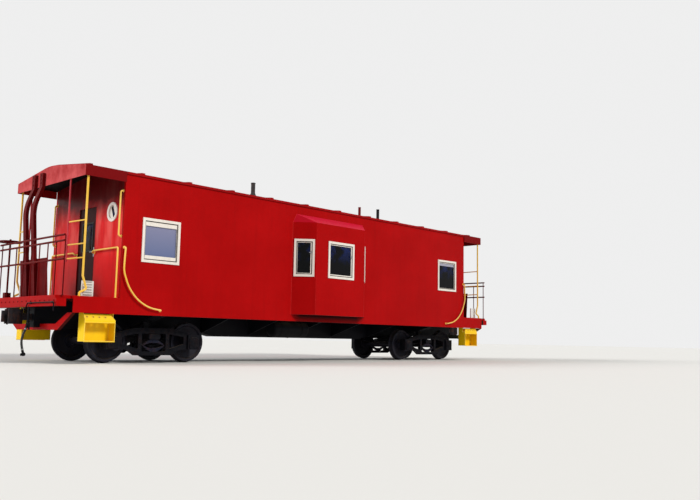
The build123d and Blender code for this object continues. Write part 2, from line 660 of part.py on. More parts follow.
def make_post_plate():
    """Leaning steel plate behind the front posts, from the deck to below the rails."""
    start, knee = post_line(POST_Y)[:2]
    lean = (knee[0] - start[0]) / (knee[2] - start[2])
    inner = POST_THICKNESS / 2 / math.cos(math.atan(lean)) + SEAT_GAP
    outline = []
    for z, offset in ((FLOOR_TOP + SEAT_GAP, inner), (POST_PLATE_TOP, inner),
                      (POST_PLATE_TOP, inner + POST_PLATE_THICKNESS),
                      (FLOOR_TOP + SEAT_GAP, inner + POST_PLATE_THICKNESS)):
        outline.append((start[0] + lean * (z - start[2]) + offset, z))
    return plate_xz(outline, POST_PLATE_Y)


def make_end_railing():
    """Front railing: three rails, and balusters from the deck that they are welded to."""
    rail_x = -HALF_BODY - RAIL_X
    half = END_BEAM_HALF - RAIL_RADIUS
    bars = [cylinder((rail_x, -half, z), (rail_x, half, z), RAIL_RADIUS)
            for z in (TOP_RAIL_Z, UPPER_RAIL_Z, LOWER_RAIL_Z)]
    bar_x = rail_x + RAIL_RADIUS + BALUSTER_RADIUS + SEAT_GAP
    pitch = 2 * (half - RAIL_RADIUS) / (BALUSTERS - 1)
    for index in range(BALUSTERS):
        y = -half + RAIL_RADIUS + index * pitch
        top = UPPER_RAIL_Z if index in (0, BALUSTERS - 1) else TOP_RAIL_Z
        bars.append(cylinder((bar_x, y, FLOOR_TOP + SEAT_GAP), (bar_x, y, top), BALUSTER_RADIUS))
    return bars


def make_corner_ladder():
    """Near front corner: outer pole with a joggled foot, inner pole and the rungs seated between them."""
    x = -HALF_BODY - POLE_X
    y = -HALF_WIDTH + POLE_Y
    inner_y = -HALF_WIDTH + INNER_POLE_Y
    shin_x = x + POLE_JOGGLE_IN
    foot_x = x - POLE_JOGGLE_OUT
    outer = rod([(x, y, pole_top(y, POLE_RADIUS)), (x, y, POLE_JOGGLE_Z[0]), (shin_x, y, POLE_JOGGLE_Z[1]),
                 (foot_x, y, POLE_JOGGLE_Z[2]), (foot_x, y, FLOOR_TOP)], POLE_RADIUS, 45)
    inner_x = x - INNER_POLE_OFFSET
    inner = cylinder((inner_x, inner_y, RUNG_HEIGHTS[0] - 60), (inner_x, inner_y, pole_top(inner_y, INNER_POLE_RADIUS)),
                     INNER_POLE_RADIUS)
    across = Vector(inner_x - x, inner_y - y, 0)
    start = across.normalized() * (POLE_RADIUS + SEAT_GAP)
    end = across - across.normalized() * (INNER_POLE_RADIUS + SEAT_GAP)
    rungs = [cylinder((x + start.X, y + start.Y, z), (x + end.X, y + end.Y, z), RUNG_RADIUS) for z in RUNG_HEIGHTS]
    return [outer, inner] + rungs


def pole_top(y, radius):
    """Height at which a pole at y meets the roof sheet's underside, less a seat gap."""
    return EAVES_Z + (ROOF_HALF - abs(y) - radius) * ROOF_RISE / ROOF_HALF - ROOF_SHEET - SEAT_GAP


def make_wall_handrails():
    """Near front wall rail that turns down to the deck, and the upright grab iron by the corner."""
    wall_x = -HALF_BODY
    x = wall_x - WALL_RAIL_STANDOFF
    y_corner = -HALF_WIDTH + WALL_RAIL_INSET
    rail_z = SILL_BOTTOM + WALL_RAIL_HEIGHT
    y_inner = -(DOOR_WIDTH / 2 - DOOR_STOP_LAP + WALL_RAIL_DOOR_MARGIN)
    foot_z = rail_z - 40
    rail = rod([(wall_x, y_inner, foot_z), (x, y_inner, foot_z), (x, y_inner - 60, rail_z),
                (x, y_corner, rail_z), (x, y_corner, FLOOR_TOP)], HANDRAIL_RADIUS, 30)
    low = SILL_BOTTOM + GRAB_IRON_HEIGHT
    high = EAVES_Z - GRAB_IRON_DROP
    iron = rod([(wall_x, y_corner, low), (x, y_corner, low), (x, y_corner, high), (wall_x, y_corner, high)],
               HANDRAIL_RADIUS, 40)
    return [rail, iron]


SIDE_RAIL_STANDOFF = 60
# Near front side handrail. Columns: distance in from the body's end, height over the sill's bottom
SIDE_RAIL_ROUTE = [(35, 1330), (22, 1030), (22, 850), (140, 540), (344, 302), (614, 152), (909, 107)]


def make_side_handrail():
    y = -HALF_WIDTH - SIDE_RAIL_STANDOFF
    route = [(-HALF_BODY + x, y, SILL_BOTTOM + z) for x, z in SIDE_RAIL_ROUTE]
    first = (route[0][0], -HALF_WIDTH, route[0][2])
    last = (route[-1][0], -HALF_WIDTH, route[-1][2])
    points = [first] + route + [last]
    return rod(points, HANDRAIL_RADIUS, arc_radii(points))


def make_grating():
    """Small upright grating panel beside the corner pole."""
    x_span = (-HALF_BODY - GRATING_X[1], -HALF_BODY - GRATING_X[0])
    y = -HALF_WIDTH + GRATING_Y
    panel = block(x_span, (y, y + 30), GRATING_Z)
    slots = 6
    pitch = (GRATING_Z[1] - GRATING_Z[0]) / slots
    for index in range(slots):
        z = GRATING_Z[0] + (index + 0.3) * pitch
        panel -= block((x_span[0] + 25, x_span[1] - 25), (y - 1, y + 31), (z, z + pitch * 0.5))
    return panel


# Roof fittings
def ceiling_height(y):
    return EAVES_Z + (ROOF_HALF - abs(y)) * ROOF_RISE / ROOF_HALF


def roof_pipe(x, outline, roof):
    """A turned fitting on the near roof slope, from its (radius, height over the roof) outline."""
    sunk = ROOF_SHEET / 2
    base_z = ceiling_height(STACKS_Y) - sunk
    points = [(0, 0, base_z)] + [(radius, 0, base_z + height) for radius, height in outline]
    pipe = revolve(make_face(Polyline(*points, close=True)), Axis.Z)
    return Pos(x, STACKS_Y, 0) * pipe - roof


def make_stove_stack(roof):
    """Slim smoke jack with a flared base and a rolled rim, bored out at the top."""
    r, h = STOVE_STACK_RADIUS, STOVE_STACK_HEIGHT
    outline = [(2.2 * r, 0), (2.1 * r, 35), (1.6 * r, 60), (1.2 * r, 95), (r, 140), (r, h - 22), (r + 5, h - 18),
               (r + 5, h - 4), (r, h), (r - 8, h), (r - 8, h - 80), (0, h - 80)]
    return roof_pipe(STOVE_STACK_X, outline, roof)


# Vents. Columns: height, pipe radius, base radius, base height, rim
VENTS = [(295, 36, 44, 45, 2), (335, 41, 66, 55, 3)]


def make_roof_vents(roof):
    """Two small open vent pipes, the second on a wider flashing."""
    vents = []
    for x, (h, r, base_r, base_h, rim) in zip(VENT_POSITIONS, VENTS):
        outline = [(base_r, 0), (base_r, base_h - 15), (r, base_h), (r, h - 20), (r + rim, h - 16), (r + rim, h - 3),
                   (r, h), (r - 6, h), (r - 6, h - 60), (0, h - 60)]
        vents.append(roof_pipe(x, outline, roof))
    return vents


# Coupler and brake connections at the front end
COUPLER_FACE = HALF_BODY + END_BEAM_END + COUPLER_REACH
# Coupler plans. Columns: distance back from the pulling face, distance across
HEAD_PLAN = [(300, -65), (232, -118), (130, -150), (30, -208), (-40, -215), (-34, -160), (62, -92), (92, -48),
             (96, 30), (126, 58), (126, 142), (232, 112), (300, 65)]
EAR_PLAN = [(140, 58), (60, 58), (18, 82), (18, 140), (60, 164), (140, 142)]
KNUCKLE_PLAN = [(112, 84), (112, 130), (72, 158), (20, 154), (-44, 132), (-60, 96), (-52, 56), (-22, 38), (36, 48),
                (74, 58)]
KNUCKLE_PIN = (70, 110)
HEAD_HEIGHT = 290
EAR_THICKNESS = 32


def rounded_plan(plan, radius, z_span):
    """A flat casting from a coupler plan, its upright corners rounded."""
    points = [(-COUPLER_FACE + back, across, 0) for back, across in plan]
    face = make_face(Polyline(*points, close=True))
    face = fillet(face.vertices(), radius)
    return Pos(0, 0, z_span[0]) * extrude(face, amount=z_span[1] - z_span[0], dir=(0, 0, 1))


def knuckle_bar(radius, z_span):
    back, across = KNUCKLE_PIN
    return cylinder((-COUPLER_FACE + back, across, z_span[0]), (-COUPLER_FACE + back, across, z_span[1]), radius)


def make_coupler():
    """Shank, head with its guard arm, and the two ears that hold the knuckle's pin."""
    half = HEAD_HEIGHT / 2
    bottom, top = COUPLER_HEIGHT - half, COUPLER_HEIGHT + half
    head = rounded_plan(HEAD_PLAN, 14, (bottom, top))
    ears = [rounded_plan(EAR_PLAN, 14, span) for span in ((bottom, bottom + EAR_THICKNESS), (top - EAR_THICKNESS, top))]
    shank_half = SHANK_SIZE / 2
    sill_end = -(SKIRT_END + END_BEAM_START - PLATFORM_LENGTH)
    shank = block((sill_end, -COUPLER_FACE + 290), (-shank_half, shank_half),
                  (COUPLER_HEIGHT - shank_half, COUPLER_HEIGHT + shank_half))
    bore = knuckle_bar(KNUCKLE_PIN_RADIUS + SEAT_GAP, (bottom - 1, top + 1))
    return fused([head, shank] + ears) - bore


def make_coupler_knuckle():
    """Hooked knuckle between the head's ears, on its pin."""
    half = HEAD_HEIGHT / 2
    low = COUPLER_HEIGHT - half + EAR_THICKNESS + SEAT_GAP
    high = COUPLER_HEIGHT + half - EAR_THICKNESS - SEAT_GAP
    knuckle = rounded_plan(KNUCKLE_PLAN, 14, (low, high))
    pin = knuckle_bar(KNUCKLE_PIN_RADIUS, (COUPLER_HEIGHT - half - 14, COUPLER_HEIGHT + half + 10))
    cap = knuckle_bar(KNUCKLE_PIN_RADIUS + 9, (COUPLER_HEIGHT + half + SEAT_GAP, COUPLER_HEIGHT + half + 14))
    return fused([knuckle, pin, cap])


LEVER_RADIUS = 12
LEVER_BRACKETS = (-1360, -450)


def make_uncoupling_lever():
    """Bent rod from the near corner to the coupler's lock lifter."""
    x = -HALF_BODY - END_BEAM_END - 30
    handle_y = -END_BEAM_HALF + 40
    z = END_BEAM_Z[0] + 70
    lifter_z = COUPLER_HEIGHT + HEAD_HEIGHT / 2 + LEVER_RADIUS + SEAT_GAP
    lever = rod([(x, handle_y, z - 160), (x, handle_y, z), (x, -330, z), (x, -250, lifter_z), (x, -60, lifter_z)],
                LEVER_RADIUS, 25)
    beam_face = -HALF_BODY - END_BEAM_END
    brackets = [block((x, beam_face), (y - 12, y + 12), (z - 20, z + 20)) for y in LEVER_BRACKETS]
    return fused([lever] + brackets)


# Brake hose, by hand, from the angle cock down to the hose coupling. Columns: out from the end beam, y, z
HOSE_POINTS = [(24, -330, 690), (64, -330, 600), (96, -325, 480), (89, -312, 350), (54, -300, 240)]
HOSE_ROUTE = [(-HALF_BODY - END_BEAM_END - out, y, z) for out, y, z in HOSE_POINTS]


def make_hose():
    radii = arc_radii(HOSE_ROUTE)
    path = FilletPolyline(*HOSE_ROUTE, radius=radii)
    print("hose length", round(path.length), "radii", [round(r) for r in radii])
    return sweep(Plane(origin=path @ 0, z_dir=path % 0) * Circle(HOSE_DIAMETER / 2), path=path)


COCK_RADIUS = 38
BRAKE_PIPE_RADIUS = 22


def make_hose_pipe():
    """Brake pipe end under the end beam, with the angle cock that the hose hangs from and its handle."""
    start = Vector(*HOSE_ROUTE[0])
    towards = (start - Vector(*HOSE_ROUTE[1])).normalized()
    neck_end = start + towards * 70
    neck = cylinder(tuple(start), tuple(neck_end), 30)
    elbow = Pos(*neck_end) * Sphere(COCK_RADIUS)
    pipe = cylinder(tuple(neck_end), (neck_end.X, neck_end.Y, END_BEAM_Z[0]), BRAKE_PIPE_RADIUS)
    nut = cylinder((neck_end.X, neck_end.Y, neck_end.Z + COCK_RADIUS), (neck_end.X, neck_end.Y, neck_end.Z + 70), 32)
    spindle = cylinder(tuple(neck_end), (neck_end.X, neck_end.Y - 60, neck_end.Z), 14)
    handle = block((neck_end.X - 14, neck_end.X + 14), (neck_end.Y - 62, neck_end.Y - 50),
                   (neck_end.Z - 110, neck_end.Z + 16))
    return fused([neck, elbow, pipe, nut, spindle, handle])


def make_hose_coupling():
    """The cast head on the hose's free end: a tapered neck, a round gasket face and a locking lug."""
    end = Vector(*HOSE_ROUTE[-1])
    along = (end - Vector(*HOSE_ROUTE[-2])).normalized()
    neck = Plane(origin=end, z_dir=along) * Cone(27, 19, 60, align=(Align.CENTER, Align.CENTER, Align.MIN))
    tip = end + along * 70
    face = cylinder((tip.X, tip.Y - 26, tip.Z), (tip.X, tip.Y + 26, tip.Z), 36)
    lug = block((tip.X - 62, tip.X - 20), (tip.Y - 26, tip.Y - 8), (tip.Z - 32, tip.Z + 16))
    return fused([neck, face, lug])


BRAKE_WHEEL_RADIUS = 230
BRAKE_RIM_RADIUS = 15
BRAKE_SPOKES = 5


def make_hand_brake():
    """Upright staff on the front railing's far side with its ratchet box and spoked wheel."""
    x = -HALF_BODY - RAIL_X + HAND_BRAKE_SETBACK
    y = HAND_BRAKE_Y
    z = UPPER_RAIL_Z + RAIL_RADIUS + BRAKE_RIM_RADIUS + 25
    staff = cylinder((x, y, FLOOR_TOP), (x, y, z + 60), 20)
    box = block((x - 60, x + 60), (y - 60, y + 60), (FLOOR_TOP, FLOOR_TOP + 120))
    rim = Pos(x, y, z) * Torus(BRAKE_WHEEL_RADIUS, BRAKE_RIM_RADIUS)
    hub = cylinder((x, y, z - 25), (x, y, z + 25), 40)
    spokes = []
    for index in range(BRAKE_SPOKES):
        angle = 2 * math.pi * (index + 0.5) / BRAKE_SPOKES
        reach = BRAKE_WHEEL_RADIUS - 4
        spokes.append(cylinder((x, y, z), (x + reach * math.cos(angle), y + reach * math.sin(angle), z), 10))
    arm = block((-HALF_BODY - RAIL_X + RAIL_RADIUS + SEAT_GAP, x), (y - 15, y + 15),
                (LOWER_RAIL_Z - 15, LOWER_RAIL_Z + 15))
    return fused([hub] + spokes + [rim, staff, box, arm])


def make_air_brake_gear():
    """Air reservoir and brake cylinder hung under the floor between the trucks."""
    z = AIR_GEAR_Z
    floor = FLOOR_TOP - FLOOR_THICKNESS
    y = AIR_TANK_Y
    r = AIR_TANK_RADIUS
    mid = (CROSS_BEARERS[1] + CROSS_BEARERS[2]) / 2
    ends = (mid - AIR_TANK_LENGTH / 2, mid + AIR_TANK_LENGTH / 2)
    tank = cylinder((ends[0], y, z), (ends[1], y, z), r)
    tank = fillet(tank.edges().filter_by(GeomType.CIRCLE), 0.3 * r)
    parts = [tank]
    for x in (mid - AIR_TANK_LENGTH * 0.3, mid + AIR_TANK_LENGTH * 0.3):
        parts.append(cylinder((x - 22, y, z), (x + 22, y, z), r + 7))
        parts.append(block((x - 22, x + 22), (y - 30, y + 30), (z + 0.95 * r, floor)))
    parts.append(cylinder((mid, y, z - r - 25), (mid, y, z), 18))
    y = BRAKE_CYLINDER_Y
    r = BRAKE_CYLINDER_RADIUS
    start = CROSS_BEARERS[2] + 300
    end = start + BRAKE_CYLINDER_LENGTH
    drum = [cylinder((start, y, z), (end, y, z), r), cylinder((end - 24, y, z), (end, y, z), r + 24),
            cylinder((start - 20, y, z), (start, y, z), 0.8 * r), cylinder((end, y, z), (end + 60, y, z), 0.4 * r),
            cylinder((end, y, z), (end + 350, y, z), 0.2 * r),
            block((start + 100, end - 100), (y - 40, y + 40), (z + 0.93 * r, floor))]
    return [fused(parts), fused(drum)]


# Trucks, built about their own centre and then placed
TRUCK_BOLSTER_PAD_Z = 660
SIDE_FRAME_Y = JOURNAL_Y


def cast_plate(outline, radius, y_span):
    """A plate across Y from an (x, z) outline, its corners rounded."""
    face = make_face(Polyline(*[(x, z) for x, z in outline], close=True))
    face = fillet(face.vertices(), radius)
    plate = extrude(Plane.XZ * face, amount=y_span[1] - y_span[0], dir=(0, 1, 0))
    return Pos(0, y_span[0], 0) * plate


def make_side_frame():
    """Far side frame: arched top member, dipped bottom member, columns and journal boxes."""
    base = TRUCK_WHEELBASE / 2
    box_x, box_y, box_z = JOURNAL_BOX
    low = AXLE_Z - box_z / 2
    high = AXLE_Z + box_z / 2
    outline = [(-base, low), (-base, high), (-450, SIDE_FRAME_TOP), (450, SIDE_FRAME_TOP), (base, high),
               (base, low), (620, low - 10), (440, SIDE_FRAME_BOTTOM), (-440, SIDE_FRAME_BOTTOM), (-620, low - 10)]
    y_span = (SIDE_FRAME_Y - SIDE_FRAME_THICKNESS / 2, SIDE_FRAME_Y + SIDE_FRAME_THICKNESS / 2)
    frame = cast_plate(outline, 40, y_span)
    window = [(-SPRING_WINDOW_HALF, 240), (-SPRING_WINDOW_HALF, SPRING_WINDOW_TOP),
              (SPRING_WINDOW_HALF, SPRING_WINDOW_TOP), (SPRING_WINDOW_HALF, 240)]
    frame -= cast_plate(window, 35, (y_span[0] - 1, y_span[1] + 1))
    light = [(370, 290), (370, SPRING_WINDOW_TOP), (740, 560), (740, 400)]
    for side in (1, -1):
        frame -= cast_plate([(side * x, z) for x, z in light], 25, (y_span[0] - 1, y_span[1] + 1))
        x = side * base
        y0 = JOURNAL_Y - box_y / 2
        journal_box = block((x - box_x / 2, x + box_x / 2), (y0, y0 + box_y), (low, high))
        lid = block((x - box_x / 2 + 30, x + box_x / 2 - 30), (y0 + box_y, y0 + box_y + 18), (low + 20, high - 70))
        boss = cylinder((x, y0 + box_y, AXLE_Z - 10), (x, y0 + box_y + 26, AXLE_Z - 10), box_x / 4)
        hinge_z = high - 64
        hinge = cylinder((x - box_x / 4, y0 + box_y + 6, hinge_z), (x + box_x / 4, y0 + box_y + 6, hinge_z), 14)
        frame = frame + journal_box + lid + boss + hinge
    for side in (1, -1):
        x = side * base
        bore_end = JOURNAL_Y + JOURNAL_LENGTH / 2 - 30
        frame -= cylinder((x, 0, AXLE_Z), (x, bore_end, AXLE_Z), JOURNAL_RADIUS + RUNNING_CLEARANCE)
    return frame


def make_truck_bolster():
    """Cross beam through both side frames, with the centre bowl for the king pin."""
    end = JOURNAL_Y + SIDE_FRAME_THICKNESS / 2 + 30
    outline = [(-end, 500), (-end, 600), (-500, TRUCK_BOLSTER_PAD_Z), (500, TRUCK_BOLSTER_PAD_Z), (end, 600),
               (end, 500), (600, 500), (400, 430), (-400, 430), (-600, 500)]
    half = TRUCK_BOLSTER_WIDTH / 2
    beam = plate_yz(outline, (-half, half))
    bowl = cylinder((0, 0, TRUCK_BOLSTER_PAD_Z), (0, 0, CENTRE_PLATE_Z), CENTRE_BOWL_RADIUS)
    bore_bottom = CENTRE_PLATE_Z - KING_PIN_LENGTH - 10
    bore = cylinder((0, 0, bore_bottom), (0, 0, CENTRE_PLATE_Z + 1), KING_PIN_RADIUS + RUNNING_CLEARANCE)
    pads = both_sides([block((-60, 60), (SIDE_BEARING_Y - 50, SIDE_BEARING_Y + 50), (600, TRUCK_BOLSTER_PAD_Z))])
    return fused([beam, bowl] + pads) - bore


LEAF_WIDTH = 80
LEAF_RADIUS = 520
LEAF_HALF_CHORD = 255


def make_leaf_spring():
    """Full elliptic spring: nested curved leaves, bowed down below and up above, in a buckle."""
    y0 = SIDE_FRAME_Y - LEAF_WIDTH / 2
    seat = 240
    top = 500
    mid = (seat + top) / 2
    leaves = []
    for side in (1, -1):
        for index in range(LEAF_COUNT):
            inner = LEAF_RADIUS + index * LEAF_THICKNESS
            half_angle = math.degrees(math.asin(LEAF_HALF_CHORD / LEAF_RADIUS)) * (1 - 0.17 * index)
            depth = (top - seat) / 2
            centre_z = mid + side * (LEAF_RADIUS + LEAF_COUNT * LEAF_THICKNESS - depth)
            start = math.radians(-90 * side - half_angle)
            end = math.radians(-90 * side + half_angle)
            ring = []
            for radius in (inner, inner + LEAF_THICKNESS):
                a = (radius * math.cos(start), y0, centre_z + radius * math.sin(start))
                m = (0, y0, centre_z - side * radius)
                b = (radius * math.cos(end), y0, centre_z + radius * math.sin(end))
                ring.append((a, m, b))
            edges = [ThreePointArc(*ring[0]), ThreePointArc(*ring[1]), Line(ring[0][0], ring[1][0]),
                     Line(ring[0][2], ring[1][2])]
            leaves.append(extrude(make_face(edges), amount=LEAF_WIDTH, dir=(0, 1, 0)))
    buckle = block((-35, 35), (y0 - 6, y0 + LEAF_WIDTH + 6), (seat, seat + LEAF_COUNT * LEAF_THICKNESS + 10))
    buckles = [buckle, Pos(0, 0, top - seat - LEAF_COUNT * LEAF_THICKNESS - 10) * buckle]
    return fused(leaves + buckles)


def make_brake_beam():
    """One brake beam inside the axle, with curved shoes at the treads and hangers to the bolster."""
    axle_x = TRUCK_WHEELBASE / 2
    shoe_y = WHEEL_INNER_FACE + RIM_WIDTH / 2 + 10
    clearance = 10
    shoes = []
    for y in (-shoe_y, shoe_y):
        ring = cylinder((axle_x, y - 40, AXLE_Z), (axle_x, y + 40, AXLE_Z), WHEEL_RADIUS + clearance + 55)
        ring -= cylinder((axle_x, y - 50, AXLE_Z), (axle_x, y + 50, AXLE_Z), WHEEL_RADIUS + clearance)
        shoes.append(ring & block((axle_x - WHEEL_RADIUS - 80, axle_x - 300), (y - 60, y + 60), (AXLE_Z - 150, AXLE_Z + 130)))
    beam_x = axle_x - WHEEL_RADIUS - clearance - 60
    beam = block((beam_x - 35, beam_x + 35), (-shoe_y - 40, shoe_y + 40), (AXLE_Z - 35, AXLE_Z + 35))
    hangers = []
    for y in (-500, 500):
        hangers.append(block((TRUCK_BOLSTER_WIDTH / 2, beam_x), (y - 15, y + 15), (530, 560)))
        hangers.append(block((beam_x - 15, beam_x + 15), (y - 15, y + 15), (AXLE_Z, 560)))
    return fused([beam] + shoes + hangers)


def make_wheel():
    """Far wheel of a wheelset: hub, dished web, rim, tread and flange, by revolving its section."""
    inner = WHEEL_INNER_FACE
    outer = inner + RIM_WIDTH
    flange_r = WHEEL_RADIUS + FLANGE_HEIGHT
    rim_r = WHEEL_RADIUS - RIM_THICKNESS
    hub_in = inner - 20
    hub_out = hub_in + HUB_LENGTH
    web_in = inner + 45
    web_out = inner + 75
    section = [(hub_in, WHEEL_SEAT_RADIUS), (hub_in, HUB_RADIUS), (web_in, HUB_RADIUS + 20), (web_out, rim_r - 30),
               (inner, rim_r), (inner, flange_r - 10), (inner + 10, flange_r), (inner + FLANGE_WIDTH - 14, flange_r - 4),
               (inner + FLANGE_WIDTH, WHEEL_RADIUS + 3), (inner + FLANGE_WIDTH + 12, WHEEL_RADIUS),
               (outer - 6, WHEEL_RADIUS - 4), (outer, WHEEL_RADIUS - 10), (outer, rim_r),
               (web_out + WEB_THICKNESS, rim_r - 30), (web_in + WEB_THICKNESS, HUB_RADIUS + 20),
               (hub_out, HUB_RADIUS - 10), (hub_out, WHEEL_SEAT_RADIUS)]
    face = make_face(Polyline(*[(0, y, r) for y, r in section], close=True))
    return revolve(face, Axis.Y)


def make_axle():
    """Axle: body, wheel seats and journals, by revolving its section."""
    journal_end = JOURNAL_Y + JOURNAL_LENGTH / 2 - 35
    seat_in = WHEEL_INNER_FACE - 20
    seat_out = seat_in + HUB_LENGTH
    half = [(0, AXLE_RADIUS), (seat_in - 40, AXLE_RADIUS), (seat_in, WHEEL_SEAT_RADIUS), (seat_out, WHEEL_SEAT_RADIUS),
            (seat_out + 10, JOURNAL_RADIUS), (journal_end, JOURNAL_RADIUS), (journal_end, 0)]
    outline = half + [(-y, r) for y, r in reversed(half[1:])]
    face = make_face(Polyline(*[(0, y, r) for y, r in outline], close=True))
    return revolve(face, Axis.Y)


# Writing the nodes
save("centre_sill", [make_centre_sill()])
save("cross_bearers", make_cross_bearers())
save("side_sills", make_side_sills())
save("floor_deck", [make_floor()])
side_wall = make_side_wall()
save("side_wall_near", [side_wall])
save("side_wall_far", [mirror_y(side_wall)])
bay = make_bay()
save("bay_near", [bay])
save("bay_far", [mirror_y(bay)])
end_wall = make_end_wall()
save("end_wall_front", [end_wall])
save("end_wall_rear", [end_wall.rotate(Axis.Z, 180)])
roof = make_roof()
save("roof", [roof])
save("platform_decks", both_ends([make_platform()]))
save("end_sills", both_ends([make_end_sill()]))
save("step_boxes", both_ends(both_sides([make_step_box()])))
save("curved_posts", turned_ends(make_curved_posts()))
save("end_railings", both_ends(make_end_railing()) + turned_ends([make_post_plate()]))
save("corner_ladders", both_ends(both_sides(make_corner_ladder())))
save("wall_handrails", both_ends(both_sides(make_wall_handrails())))
save("side_handrails", both_ends(both_sides([make_side_handrail()])))
save("grating_panels", both_ends(both_sides([make_grating()])))
side_frames = near_window_shapes(frame_ring, in_bay=False)
save("window_frames", both_sides(side_frames) + turned_ends([make_porthole_frame()]))
bay_frames = near_window_shapes(frame_ring, in_bay=True)
save("bay_window_frames_near", bay_frames)
save("bay_window_frames_far", [mirror_y(frame) for frame in bay_frames])
save("window_glass", both_sides(near_window_shapes(frame_glass)) + turned_ends([make_porthole_glass()]))
save("stove_stack", [make_stove_stack(roof)])
save("roof_vents", make_roof_vents(roof))
save("couplers", turned_ends([make_coupler()]))
save("coupler_knuckles", turned_ends([make_coupler_knuckle()]))
save("uncoupling_levers", turned_ends([make_uncoupling_lever()]))
hose = make_hose()
save("brake_hose_front", [hose])
save("brake_hose_rear", [hose.rotate(Axis.Z, 180)])
hose_coupling = make_hose_coupling()
save("hose_coupling_front", [hose_coupling])
save("hose_coupling_rear", [hose_coupling.rotate(Axis.Z, 180)])
save("hose_pipes", turned_ends([make_hose_pipe()]))
save("hand_brake", [make_hand_brake()])
save("air_brake_gear", make_air_brake_gear())
door = make_door()
door_glass = make_door_glass()
save("door_front", [door])
save("door_front_glass", [door_glass])
save("door_rear", [door.rotate(Axis.Z, 180)])
save("door_rear_glass", [door_glass.rotate(Axis.Z, 180)])

truck_frames = both_sides([make_side_frame()])
bolster = make_truck_bolster()
springs = both_sides([make_leaf_spring()])
brakes = both_ends([make_brake_beam()])
wheels = both_sides([make_wheel()])
axle = make_axle()
for end, sign in (("front", -1), ("rear", 1)):
    place = Pos(sign * TRUCK_X, 0, 0)
    save(f"truck_{end}_side_frames", [place * shape for shape in truck_frames])
    save(f"truck_{end}_bolster", [place * bolster])
    save(f"truck_{end}_springs", [place * shape for shape in springs])
    save(f"truck_{end}_brakes", [place * shape for shape in brakes])
    for axle_name, step in (("a", -1), ("b", 1)):
        spot = Pos(sign * TRUCK_X + step * TRUCK_WHEELBASE / 2, 0, AXLE_Z)
        save(f"wheels_{end}_{axle_name}", [spot * shape for shape in wheels])
        save(f"axle_{end}_{axle_name}", [spot * axle])
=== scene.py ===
import math

import bmesh
import bpy
from mathutils import Matrix, Vector


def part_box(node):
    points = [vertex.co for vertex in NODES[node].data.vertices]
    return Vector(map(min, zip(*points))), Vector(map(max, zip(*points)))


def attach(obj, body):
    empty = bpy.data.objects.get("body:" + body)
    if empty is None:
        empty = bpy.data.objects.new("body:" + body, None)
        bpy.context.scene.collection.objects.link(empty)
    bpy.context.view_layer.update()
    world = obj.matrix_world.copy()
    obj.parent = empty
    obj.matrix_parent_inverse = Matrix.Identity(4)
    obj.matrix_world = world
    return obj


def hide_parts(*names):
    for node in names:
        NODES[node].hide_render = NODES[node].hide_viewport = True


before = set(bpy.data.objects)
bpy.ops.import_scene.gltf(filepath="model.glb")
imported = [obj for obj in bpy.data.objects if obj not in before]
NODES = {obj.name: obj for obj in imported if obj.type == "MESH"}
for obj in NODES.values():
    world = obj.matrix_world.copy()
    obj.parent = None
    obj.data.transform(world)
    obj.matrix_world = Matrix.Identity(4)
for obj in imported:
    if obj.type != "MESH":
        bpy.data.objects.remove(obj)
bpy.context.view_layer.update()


def middle(node):
    low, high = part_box(node)
    return (low + high) / 2


# Places read from the frame
WALL_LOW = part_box("side_wall_near")[0]
BODY_END = -WALL_LOW.x
BODY_SIDE = -WALL_LOW.y
SILL_Z = WALL_LOW.z
FLOOR_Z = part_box("floor_deck")[1].z
ROOF_LOW, ROOF_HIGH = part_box("roof")
ROOF_END = ROOF_HIGH.x
ROOF_EDGE = ROOF_HIGH.y
BAY_LOW, BAY_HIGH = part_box("bay_near")
BEAM_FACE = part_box("platform_decks")[1].x
STEP_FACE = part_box("step_boxes")[1].x
GRATING_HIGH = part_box("grating_panels")[1]
DOOR_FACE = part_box("door_rear")[1].x
TRUCK_X = middle("truck_rear_bolster").x
AXLE_OFFSET = middle("axle_rear_b").x - TRUCK_X
ENDS = (("front", -1), ("rear", 1))
SIDES = (("near", -1), ("far", 1))

# Places of details inside a node, as in the part's source
EAVES_Z = 3.846
ROOF_RISE = 0.190
PORTHOLE_Y = 1.055
PORTHOLE_Z = 3.073
POST_YS = (0.250, 0.620)
INNER_POLE_Y = 0.885


# Colours and material nodes
def srgb(red, green, blue):
    """A display colour, 0 to 255, as linear RGBA."""
    def linear(value):
        value /= 255
        return value / 12.92 if value <= 0.04045 else ((value + 0.055) / 1.055) ** 2.4
    return (linear(red), linear(green), linear(blue), 1.0)


SHADER_SOCKETS = {
    "BaseColor": "Base Color",
    "SpecularIORLevel": "Specular IOR Level",
    "CoatWeight": "Coat Weight",
    "CoatRoughness": "Coat Roughness",
    "TransmissionWeight": "Transmission Weight",
}


